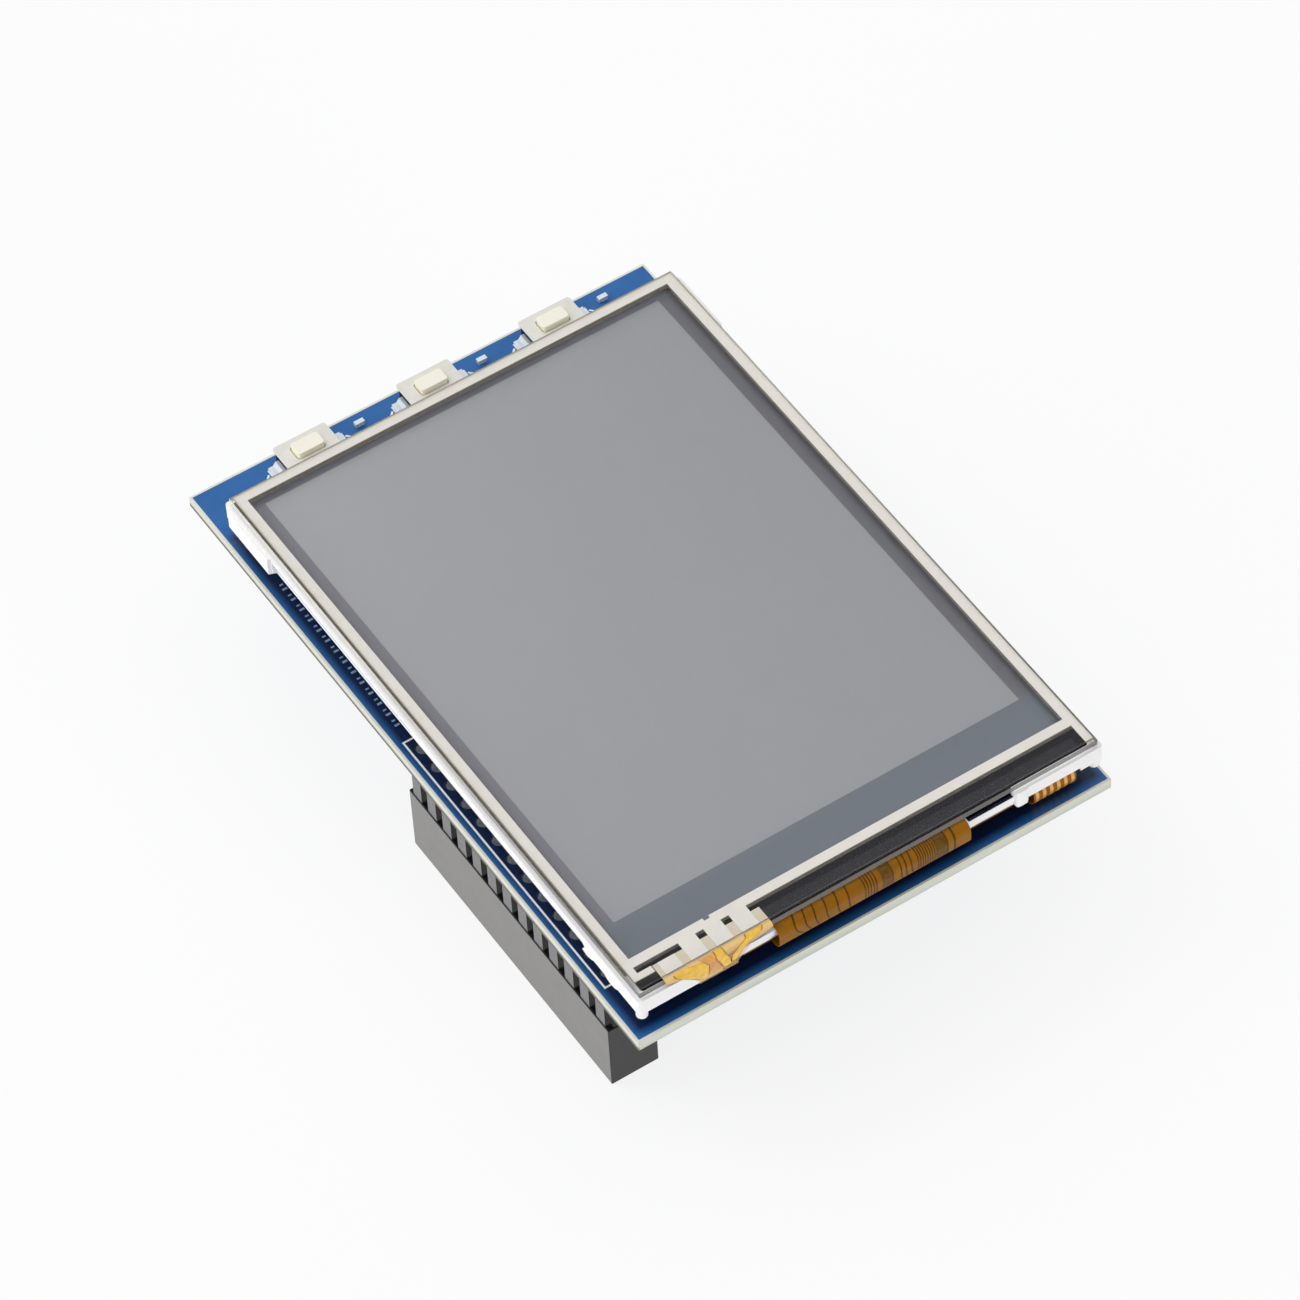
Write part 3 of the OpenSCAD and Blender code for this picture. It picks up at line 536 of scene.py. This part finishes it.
for key_x in (-key_step, 0, key_step):
    for side in (-1, 1):
        mark_x = key_x + side * 5.2 * mm
        flat_line(ink, [(mark_x, key_row_y - 0.6 * mm), (mark_x, key_row_y + 0.1 * mm),
                        (mark_x - side * 1 * mm, key_row_y + 1.1 * mm)], ink_w, *over)
fix_to_module(piece_from("board_print", ink, board_ink))

tick_step = 1.5 * mm
ticks_in_row = 14
# Painted shade: the white ticks are given a dim blue-grey colour, standing for the frame's shade on them.
ink_painted_shade = mottled("board_ink_thin", (0.24, 0.34, 0.52), 0.6, 0.25, 0.4)
roughen(ink_painted_shade, 0.1, 0.01, 0.3)
tick = ([], [])
flat_line(tick, [(-24.0 * mm, 4 * mm), (-23.5 * mm, 4 * mm)], 0.24 * mm, *over)
flat_line(tick, [(-23.95 * mm, 4.6 * mm), (-23.6 * mm, 4.6 * mm)], 0.18 * mm, *over)
fix_to_module(in_a_row("board_ticks", tick, ticks_in_row, (0, tick_step, 0), ink_painted_shade))

# ---- Pin socket ----
# Black moulded block with a smooth skin and slightly round edges, and the snap-off spacer strip between it
# and the board. The contact tails hold both to the board. Painted light makes the outer long side grey.


def softened(name, round_mm, body="module", steps=2):
    """A merged copy of a CAD node, with its sharp edges rounded where a radius is given, which stands
    for the node."""
    built = bmesh.new()
    built.from_mesh(nodes[name].data)
    bmesh.ops.remove_doubles(built, verts=built.verts, dist=1e-6)
    bmesh.ops.dissolve_limit(built, angle_limit=math.radians(0.5), verts=built.verts, edges=built.edges)
    mesh = bpy.data.meshes.new(name + "_shown")
    built.to_mesh(mesh)
    built.free()
    piece = bpy.data.objects.new(name + "_shown", mesh)
    scene.collection.objects.link(piece)
    if round_mm:
        edges = piece.modifiers.new("edges", "BEVEL")
        edges.width = round_mm * mm
        edges.segments = steps
        edges.limit_method = "ANGLE"
        edges.angle_limit = math.radians(50)
        settle(piece)
    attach(piece, body)
    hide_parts(name)
    return piece


def lit_on_outer_side(name, black, grey, roughness, specular, grain_mm):
    """New material, black all round, with painted light making it greyer on the outer long side, which faces
    -X.
    """
    made = surface(name, black, roughness, specular=specular)
    # Painted light: faces towards -X are coloured lighter grey than the rest.
    outer = combine(made, "LESS_THAN", place_of(made, "Normal")["X"], -0.95)
    painted_outer_light = combine(made, "MULTIPLY", outer, patchy(made, grain_mm, 0.92, 1))
    color_by(made, mix_colors(made, painted_outer_light, black, grey))
    return made


socket_black = lit_on_outer_side("socket_black", (0.010, 0.010, 0.011), (0.15, 0.146, 0.136), 0.24, 0.42, 2.0)
roughen(socket_black, 0.25, 0.01, 0.25)
dress(socket_black, softened("socket_body", 0.1).name)
spacer_black = lit_on_outer_side("spacer_black", (0.006, 0.006, 0.007), (0.14, 0.137, 0.142), 0.2, 0.2, 1.0)
roughen(spacer_black, 0.2, 0.01, 0.25)
dress(spacer_black, softened("spacer_strip", 0.06).name)

# ---- Contacts and solder ----
# Gold-plated forks are pressed into the block, and their tails are soldered on the board's upper face.
# The same solder holds the panel flex under the display.


def wear_roughness(made, base, change, grain_mm):
    """Gives a material an uneven gloss."""
    join(made, patchy(made, grain_mm, base - change, base + change), main_shader(made).inputs["Roughness"])


contact_gold = surface("contact_gold", (0.83, 0.62, 0.26), 0.25, metallic=1)
wear_roughness(contact_gold, 0.25, 0.08, 0.3)
roughen(contact_gold, 0.15, 0.004, 0.3)
dress(contact_gold, "socket_contacts")
# Painted shade: the solder is made a near-black metal, standing for the deep shade under the display.
solder_painted_shade = mottled("solder_painted_shade", (0.10, 0.11, 0.14), 0.1, 0.3, 0.3, metallic=1)
roughen(solder_painted_shade, 0.3, 0.03, 0.4)
dress(solder_painted_shade, "header_solder", "panel_flex_joints")

# ---- Keys ----
# Black moulded bases under plated covers, with cream buttons and bent tabs soldered to tinned pads. Under
# each button is a snap dome of spring steel.
pad_w = 0.95 * mm
pad_t = 0.04 * mm
base_black = mottled("key_base_black", (0.012, 0.012, 0.01), 0.5, 0.2, 0.4, specular=0.2)
roughen(base_black, 0.2, 0.01, 0.3)
cover_plate = mottled("key_cover_plate", (0.73, 0.715, 0.66), 0.4, 0.03, 0.6, metallic=0.1)
roughen(cover_plate, 0.12, 0.004, 0.4, stretch=(1, 6, 1))
button_cream = surface("key_button_cream", (0.90, 0.88, 0.76), 0.4)
# Painted light: the upright sides are a warmer, brighter yellow than the tops, standing for the light on
# them.
cream = mix_colors(button_cream, upright_part(button_cream), (0.86, 0.83, 0.70), (0.95, 0.89, 0.66))
color_by(button_cream, mix_colors(button_cream, patchy(button_cream, 0.8, 0, 0.3), cream, (0.87, 0.85, 0.74)))
roughen(button_cream, 0.15, 0.008, 0.3)
dome_steel = mottled("key_dome_steel", (0.75, 0.74, 0.72), 0.3, 0.06, 0.5, metallic=1)
wear_roughness(dome_steel, 0.3, 0.06, 0.4)
tab_tin = mottled("tab_tin", (0.82, 0.88, 0.95), 0.3, 0.05, 0.4, metallic=0.5)
wear_roughness(tab_tin, 0.35, 0.08, 0.3)
pads = ([], [])
for n in "123":
    dress(base_black, softened("key_base_" + n, 0.06).name)
    dress(cover_plate, softened("key_cover_" + n, 0.05).name)
    dress(button_cream, softened("key_button_" + n, 0.14, "button_" + n, 3).name)
    dome = softened("key_dome_" + n, 0)
    dress(dome_steel, dome.name)
    low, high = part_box("key_dome_" + n)
    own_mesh(dome)
    low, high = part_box("key_base_" + n)
    key_y = (low.y + high.y) / 2
    for side in (-1, 1):
        pad_x = (low.x + high.x) / 2 + side * key_land
        flat_line(pads, [(pad_x, key_y - 1.15 * mm), (pad_x, key_y + 0.85 * mm)], pad_w, board_top,
                  board_top + pad_t)
dress(tab_tin, "key_terminals", "chip_ends", "controller_leads", "driver_leads")
fix_to_module(piece_from("key_pads", pads, tab_tin))

# ---- Small components ----
# Ceramic capacitors and resistors with tinned ends, the touch controller and the lamp driver in black
# epoxy. All are soldered flat on the board.
ceramic_tan = mottled("ceramic_tan", (0.46, 0.33, 0.22), 0.45, 0.12, 0.3)
roughen(ceramic_tan, 0.1, 0.01, 0.3)
dress(ceramic_tan, softened("chip_capacitors", 0.05).name)
ceramic_pale = mottled("ceramic_pale", (0.70, 0.75, 0.80), 0.4, 0.06, 0.3)
roughen(ceramic_pale, 0.1, 0.01, 0.3)
dress(ceramic_pale, "key_capacitors")
epoxy_black = mottled("epoxy_black", (0.022, 0.022, 0.024), 0.55, 0.25, 0.2)
roughen(epoxy_black, 0.08, 0.008, 0.5)
dress(epoxy_black, softened("touch_controller", 0.08).name,
      softened("lamp_driver", 0.06).name, "chip_resistors", "driver_chip")

# ---- Foam pads ----
# Two strips of soft grey foam with sticky faces, cut from sheet. They hold the panel above the board,
# clear of the solder under it.
foam_grey = mottled("foam_grey", (0.2, 0.2, 0.21), 0.9, 0.3, 0.25, specular=0.2)
roughen(foam_grey, 0.2, 0.08, 0.8)
dress(foam_grey, softened("foam_pad_left", 0.2).name, softened("foam_pad_right", 0.2).name)

# ---- Backlight frame ----
# White moulding round the whole stack, satin from the mould, with its edges just broken. The long sides
# are set back below a thin rim, whose shadow line is painted in darker. The set-back walls are painted bluer,
# as shade and blue light from the board.
frame_half = 24.7 * mm
recess_near_y = -28.7 * mm
recess_step_y = -0.3 * mm
recess_far_y = frame_high.y - 8.3 * mm
recess_low_z = 18.374 * mm
recess_high_z = 18.842 * mm


def between(made, value, low, high):
    """1 where the value lies between two numbers."""
    return combine(made, "MULTIPLY", combine(made, "GREATER_THAN", value, low),
                   combine(made, "LESS_THAN", value, high))


frame_white = surface("frame_white", (0.905, 0.90, 0.895), 0.42, specular=0.4)
axes = place_of(frame_white)
out_from_middle = combine(frame_white, "ABSOLUTE", axes["X"], 0)
along_recess = between(frame_white, axes["Y"], recess_near_y, recess_far_y)
# Painted shade: the set-back walls are tinted a shaded blue, standing for shade and blue light bounced up
# from the board.
painted_recess_shade = combine(frame_white, "MULTIPLY", upright_part(frame_white), along_recess)
painted_recess_shade = combine(frame_white, "MULTIPLY", painted_recess_shade,
                   between(frame_white, out_from_middle, frame_half - 0.5 * mm, frame_half - 0.15 * mm))
far_part = combine(frame_white, "GREATER_THAN", axes["Y"], recess_step_y)
recess_top = ramp_between(frame_white, far_part, 0, 1, recess_low_z, recess_high_z)
above_top = combine(frame_white, "SUBTRACT", axes["Z"], recess_top)
# Painted shadow: a darker line along the lower edge of the rim, standing for its shadow line on the wall.
painted_rim_shadow = combine(frame_white, "MULTIPLY", along_recess,
                   between(frame_white, above_top, 0.02 * mm, 0.1 * mm))
painted_rim_shadow = combine(frame_white, "MULTIPLY", painted_rim_shadow,
                   combine(frame_white, "GREATER_THAN", out_from_middle, frame_half - 0.03 * mm))
walls = mix_colors(frame_white, patchy(frame_white, 4.0), (0.89, 0.885, 0.88), (0.92, 0.915, 0.91))
walls = mix_colors(frame_white, painted_recess_shade, walls, (0.70, 0.765, 0.87))
color_by(frame_white, mix_colors(frame_white, painted_rim_shadow, walls, (0.50, 0.475, 0.44)))
roughen(frame_white, 0.3, 0.01, 0.25)
dress(frame_white, softened("backlight_frame", 0.06).name)

# ---- Backlight ----
# White reflector, clear acrylic guide, diffuser and two ribbed films, stacked loose in the frame. Four
# lamps light the guide from its near side, and black tape round the rim holds the stack down.
sheet_white = mottled("sheet_white", (0.9, 0.9, 0.9), 0.6, 0.02, 1.0)
roughen(sheet_white, 0.4, 0.005, 0.2)
dress(sheet_white, "reflector_sheet", "diffuser_film")
guide_clear = mottled("guide_clear", (0.85, 0.93, 0.95), 0.08, 0.02, 3.0, alpha=0.4)
wear_roughness(guide_clear, 0.08, 0.03, 1.0)
dress(guide_clear, "light_guide")
film_ribbed = mottled("film_ribbed", (0.82, 0.84, 0.86), 0.2, 0.03, 2.0, alpha=0.5)
roughen(film_ribbed, 0.1, 0.02, 0.5, stretch=(1, 0.02, 1))
dress(film_ribbed, "lower_prism_film", "upper_prism_film")
lamp_yellow = mottled("lamp_yellow", (0.88, 0.78, 0.3), 0.35, 0.06, 0.3)
wear_roughness(lamp_yellow, 0.35, 0.05, 0.4)
dress(lamp_yellow, "lamps")
tape_black = mottled("tape_black", (0.0015, 0.002, 0.010), 0.2, 0.25, 1.5, specular=0.32)
wear_roughness(tape_black, 0.2, 0.03, 2.0)
dress(tape_black, "rim_tape", "ledge_tape")

# ---- Picture cell ----
# Two glasses between polarisers. Inside its darker surround the picture area is a plain mid grey,
# with painted light making it and its surround a little lighter towards the far left.
picture_half = 21.65 * mm
picture_near = board_low.y + 9.1 * mm
picture_far = picture_near + 58.7 * mm
cell_grey = mottled("cell_glass", (0.03, 0.035, 0.04), 0.1, 0.1, 2.0)
wear_roughness(cell_grey, 0.1, 0.03, 3.0)
dress(cell_grey, "array_glass")
picture_face = surface("picture_face", (0.28, 0.29, 0.31), 0.3)
axes = place_of(picture_face)
lit = inside_box(picture_face, axes, -picture_half, picture_half, picture_near, picture_far, 0.12 * mm)
# Painted light: the grey and the surround are lighter towards the far left, where the room light falls.
rightwards = ramp_between(picture_face, axes["X"], -picture_half, picture_half)
nearwards = ramp_between(picture_face, axes["Y"], picture_far, picture_near)
far_edge = mix_colors(picture_face, rightwards, (0.372, 0.374, 0.394), (0.300, 0.309, 0.325))
near_edge = mix_colors(picture_face, rightwards, (0.328, 0.333, 0.350), (0.305, 0.313, 0.330))
grey = mix_colors(picture_face, nearwards, far_edge, near_edge)
grey = mix_colors(picture_face, patchy(picture_face, 5.0, 0, 0.06), grey, (0.28, 0.29, 0.30))
beside = mix_colors(picture_face, rightwards, (0.186, 0.182, 0.212), (0.126, 0.126, 0.144))
beyond = ramp_between(picture_face, axes["Y"], picture_far - 0.3 * mm, picture_far + 0.3 * mm)
surround = mix_colors(picture_face, beyond, beside, (0.17, 0.178, 0.205))
before = ramp_between(picture_face, axes["Y"], picture_near - 1.2 * mm, picture_near + 1.2 * mm)
surround = mix_colors(picture_face, before, (0.142, 0.167, 0.205), surround)
color_by(picture_face, mix_colors(picture_face, lit, surround, grey))
wear_roughness(picture_face, 0.3, 0.006, 1.5)
dress(picture_face, "front_polariser", "colour_filter_glass")
rear_dark = mottled("rear_polariser", (0.08, 0.08, 0.09), 0.3, 0.1, 2.0)
wear_roughness(rear_dark, 0.3, 0.05, 2.0)
dress(rear_dark, "rear_polariser")

# ---- Panel flex ----
# Amber film over copper, bonded to the array glass and bent round the low bar. Its tracks show through
# as brown lines, drawn here as thin strips that follow the bend.
flex_low, flex_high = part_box("panel_flex")
bond_y = -36.4 * mm
flex_end_y = -36.6 * mm
flex_bend_r = 0.9 * mm
flex_drop = 2.6 * mm
strip_sunk = -0.01 * mm
track_rise = 0.012 * mm
patch_rise = 0.01 * mm
flex_amber = mottled("flex_amber", (0.27, 0.106, 0.002), 0.36, 0.12, 1.2, specular=0.15)
roughen(flex_amber, 0.8, 0.02, 0.2)
dress(flex_amber, "panel_flex", "lamp_strip")
track_brown = mottled("track_brown", (0.085, 0.036, 0.003), 0.36, 0.25, 0.5, specular=0.15)
patch_brown = mottled("track_patch", (0.13, 0.062, 0.008), 0.36, 0.25, 0.4, specular=0.15)
for brown in (track_brown, patch_brown):
    roughen(brown, 0.5, 0.01, 0.2)


def bent_over(start_y, top_z, face_y, radius, low_z, end_y=None, steps=8):
    """Outer surface of a bent flex in Y and Z, as places and outward directions from the top down. With
    end_y it turns under as well, and else it ends on its upright face."""
    line = [((start_y, top_z), (0, 1))]
    for k in range(steps + 1):
        turn = math.pi / 2 * k / steps
        way = (-math.sin(turn), math.cos(turn))
        line.append(((face_y + radius + radius * way[0], top_z - radius + radius * way[1]), way))
    if end_y is None:
        line.append(((face_y, low_z), (-1, 0)))
        return line
    for k in range(steps + 1):
        turn = math.pi / 2 * k / steps
        way = (-math.cos(turn), -math.sin(turn))
        line.append(((face_y + radius + radius * way[0], low_z + radius + radius * way[1]), way))
    line.append(((end_y, low_z), (0, -1)))
    return line


def evenly_spaced(line, steps):
    """The same surface as evenly spaced places, with the share of its length at each."""
    lengths = [0.0]
    for (a, _), (b, _) in zip(line, line[1:]):
        lengths.append(lengths[-1] + math.dist(a, b))
    even = []
    for k in range(steps + 1):
        wanted = lengths[-1] * k / steps
        i = max(j for j, reached in enumerate(lengths[:-1]) if reached <= wanted)
        share = (wanted - lengths[i]) / max(1e-12, lengths[i + 1] - lengths[i])
        place, way = ([a + (b - a) * share for a, b in zip(line[i][part], line[i + 1][part])]
                      for part in (0, 1))
        even.append((place, way, k / steps))
    return even


def wrapped(solid, surface_line, left, right, rise):
    """Adds a strip that lies on a bent flex; left and right give X for a share of the way down."""
    stations = []
    for (y, z), (way_y, way_z), share in surface_line:
        stations.append([(x, y + way_y * lift, z + way_z * lift)
                         for x in (left(share), right(share)) for lift in (strip_sunk, rise)])
    band(solid, stations)


def straight_down(solid, surface_line, x0, x1, rise):
    """Adds a strip that runs straight down a bent flex."""
    wrapped(solid, surface_line, lambda share: x0, lambda share: x1, rise)


def track_middle(share, x, drift, bow):
    """X in mm of a track that bows a little, and drifts sideways on its lower part."""
    lower = max(0.0, share - 0.3) / 0.7
    return x + drift * lower * lower - bow * math.sin(math.pi * share) * 0.4


flex_line = evenly_spaced(bent_over(bond_y, flex_high.z, flex_low.y, flex_bend_r, flex_high.z - flex_drop,
                                    end_y=flex_end_y), 30)
lines = ([], [])
for x, drift, bow, width in ((-8.1, 3.4, 1.2, 0.18), (-7.1, 2.2, 0.9, 0.16), (-6.1, 1.5, 0.8, 0.16),
                             (-4.95, 1.1, 0.7, 0.16), (-3.8, 0.9, 0.6, 0.16), (-2.7, 0.5, 0.4, 0.16),
                             (1.84, 0, 0, 0.13), (2.85, 0.2, 0.3, 0.16), (3.4, 0.4, 0.4, 0.15),
                             (4.0, 0.6, 0.5, 0.15), (7.7, 0, 0, 0.17), (8.5, 0, 0.1, 0.2)):
    half = width / 2 * mm
    wrapped(lines, flex_line, lambda share: track_middle(share, x, drift, bow) * mm - half,
            lambda share: track_middle(share, x, drift, bow) * mm + half, track_rise)
fix_to_module(piece_from("flex_tracks", lines, track_brown))
for name, first_x, count, step, width in (("flex_tracks_middle", -1.15, 5, 0.3, 0.13),
                                          ("flex_tracks_right", 4.5, 8, 0.25, 0.12)):
    line = ([], [])
    straight_down(line, flex_line, first_x * mm, (first_x + width) * mm, track_rise)
    fix_to_module(in_a_row(name, line, count, (step * mm, 0, 0), track_brown))
patches = ([], [])
for x0, x1 in ((0.7, 1.75), (6.45, 7.6)):
    straight_down(patches, flex_line, x0 * mm, x1 * mm, patch_rise)
fix_to_module(piece_from("flex_track_patches", patches, patch_brown))

# ---- Lamp tail ----
# The backlight's own flex, amber film over copper, folds down to the board at the right. Its copper
# shows through the film as pale stripes.
strip_low, strip_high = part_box("lamp_strip")
lamp_tail_x = 19.9 * mm
stripe_step = 0.77 * mm
stripes_in_row = 6
fold_steps = 24
fold_r = (strip_high.z - strip_low.z) / 2
fold_y = board_low.y + 1 * mm + fold_r
copper_pale = mottled("copper_stripe", (0.78, 0.40, 0.11), 0.3, 0.1, 0.5, metallic=0.3)
roughen(copper_pale, 0.5, 0.01, 0.2)
half_fold = []
for k in range(fold_steps + 1):
    turn = math.pi * k / fold_steps
    way = (-math.sin(turn), math.cos(turn))
    place = (fold_y + fold_r * way[0], strip_low.z + fold_r + fold_r * way[1])
    half_fold.append((place, way, k / fold_steps))
stripe = ([], [])
straight_down(stripe, half_fold, lamp_tail_x - 2.1 * mm, lamp_tail_x - 1.75 * mm, track_rise)
fix_to_module(in_a_row("lamp_tail_stripes", stripe, stripes_in_row, (stripe_step, 0, 0), copper_pale))

# ---- Touch layer ----
# A glass carries the ivory ring and the terminal pads, under a clear hard-coated film, and a gasket sticks
# it to the frame. Their cut sides carry painted shade and light, so the layers show as fine lines all round.
cut_dark_y = -27 * mm
cut_pale_y = 12 * mm


def clear_layer(name, color, roughness, face_alpha, near_side, far_side, side_alpha):
    """Clear sheet that is nearly invisible from above. Its cut sides carry painted shade near the tail and
    painted light away from it."""
    made = surface(name, color, roughness, alpha=face_alpha)
    side = upright_part(made)
    tint = mix_colors(made, patchy(made, 3.0), color, [c * 0.9 for c in color])
    # Painted shade and light: the cut sides go from a shaded dark near the tail to a lit pale away from it.
    along = ramp_between(made, place_of(made)["Y"], cut_dark_y, cut_pale_y)
    cut = mix_colors(made, along, near_side, far_side)
    color_by(made, mix_colors(made, side, tint, cut))
    join(made, ramp_between(made, side, 0, 1, face_alpha, side_alpha), main_shader(made).inputs["Alpha"])
    wear_roughness(made, roughness, roughness * 0.3, 4.0)
    return made


gasket_grey = mottled("gasket_grey", (0.27, 0.25, 0.22), 0.7, 0.15, 0.4)
roughen(gasket_grey, 0.2, 0.01, 0.4)
dress(gasket_grey, "touch_gasket")
touch_clear = clear_layer("touch_clear", (0.5, 0.5, 0.46), 0.05, 0.01, (0.13, 0.12, 0.11),
                          (0.78, 0.76, 0.70), 0.8)
dress(touch_clear, softened("touch_glass", 0.04).name)
film_clear = clear_layer("film_clear", (0.6, 0.6, 0.58), 0.1, 0.02, (0.12, 0.11, 0.10),
                         (0.42, 0.39, 0.30), 0.8)
dress(film_clear, "touch_film")
ring_ivory = surface("ring_ivory", (0.752, 0.722, 0.660), 0.5)
ivory = mix_colors(ring_ivory, patchy(ring_ivory, 1.5), (0.735, 0.705, 0.645), (0.77, 0.74, 0.68))
# Painted shade: the ring's cut sides are a dark brown-khaki, standing for the shade along its edge.
color_by(ring_ivory, mix_colors(ring_ivory, upright_part(ring_ivory), ivory, (0.42, 0.37, 0.24)))
roughen(ring_ivory, 0.2, 0.005, 0.2)
dress(ring_ivory, "touch_ring", "touch_pads")

# ---- Touch tail ----
# Clear film bonded under the pads and bent down over the frame's near face. Inside it, amber and copper
# strands draw together on the way down.
tail_low, tail_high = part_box("touch_tail")
pads_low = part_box("touch_pads")[0]
tail_turn = 0.5 * mm
lead_mm = 0.4
turn_mm = 0.785
drop_mm = 2.3
tail_mm = lead_mm + turn_mm + drop_mm
edge_over = 0.12
tail_clear = surface("tail_clear", (0.78, 0.62, 0.34), 0.2, alpha=0.5)
axes = place_of(tail_clear)
level = ramp_between(tail_clear, axes["Y"], pads_low.y - 0.25 * mm, pads_low.y + 0.25 * mm)
# Painted highlight: the film is a lighter amber up on the bend, where light catches it.
bend = ramp_between(tail_clear, axes["Z"], tail_high.z - 0.9 * mm, tail_high.z - 0.4 * mm)
amber = mix_colors(tail_clear, bend, (0.80, 0.52, 0.16), (0.90, 0.58, 0.22))
amber = mix_colors(tail_clear, level, amber, (0.72, 0.65, 0.50))
color_by(tail_clear, mix_colors(tail_clear, patchy(tail_clear, 0.8, 0, 0.3), amber, (0.72, 0.60, 0.36)))
join(tail_clear, ramp_between(tail_clear, axes["Z"], tail_high.z - 0.8 * mm, tail_high.z - 0.1 * mm,
                              0.3, 0.9), main_shader(tail_clear).inputs["Alpha"])
wear_roughness(tail_clear, 0.2, 0.06, 0.8)
dress(tail_clear, "touch_tail")
strand_gold = mottled("strand_gold", (0.84, 0.50, 0.05), 0.25, 0.18, 0.6, specular=0.6)
roughen(strand_gold, 0.5, 0.02, 0.25)
strand_copper = mottled("strand_copper", (0.68, 0.32, 0.09), 0.3, 0.2, 0.5)
roughen(strand_copper, 0.5, 0.02, 0.25)
edge_brown = mottled("strand_edge", (0.36, 0.17, 0.03), 0.3, 0.2, 0.5, specular=0.4)
roughen(edge_brown, 0.5, 0.01, 0.2)
tail_start_y = tail_low.y + tail_turn + lead_mm * mm
tail_end_z = tail_high.z - tail_turn - drop_mm * mm
tail_line = evenly_spaced(bent_over(tail_start_y, tail_high.z, tail_low.y, tail_turn, tail_end_z), 34)


def strand(solid, rows, rise):
    """Adds a strand between rows of (distance down from the bend, left X, right X), all in mm."""
    def x_at(share, side):
        down = share * tail_mm - lead_mm
        for upper, lower in zip(rows, rows[1:]):
            if down <= lower[0]:
                part = (down - upper[0]) / (lower[0] - upper[0])
                return (upper[side] + (lower[side] - upper[side]) * part) * mm
        return rows[-1][side] * mm
    inside = [s for s in tail_line if rows[0][0] <= s[2] * tail_mm - lead_mm <= rows[-1][0] + 1e-6]
    wrapped(solid, inside, lambda share: x_at(share, 1), lambda share: x_at(share, 2), rise)


gold_rows = ([(0.1, -20.8, -19.6), (0.4, -20.8, -17.9), (0.9, -20.1, -17.5), (1.6, -19.2, -17.5),
              (2.4, -18.3, -17.6)],
             [(-0.1, -16.6, -15.9), (0.8, -16.6, -15.7), (1.5, -16.2, -15.3), (2.4, -15.9, -15.15)],
             [(-0.1, -13.3, -11.6), (0.3, -13.4, -11.8), (0.7, -14.3, -13.2), (1.4, -15.0, -14.1),
              (2.2, -15.1, -14.6)])
copper_rows = [(0.0, -18.3, -16.8), (0.9, -17.35, -16.75), (2.4, -17.4, -16.0)]
gold = ([], [])
copper = ([], [])
rims = ([], [])
for rows in gold_rows:
    strand(gold, rows, 0.024 * mm)
    strand(rims, [(down, left - edge_over, right + edge_over) for down, left, right in rows], 0.012 * mm)
strand(copper, copper_rows, 0.018 * mm)
fix_to_module(piece_from("tail_strands_gold", gold, strand_gold))
fix_to_module(piece_from("tail_strands_copper", copper, strand_copper))
fix_to_module(piece_from("tail_strand_edges", rims, edge_brown))
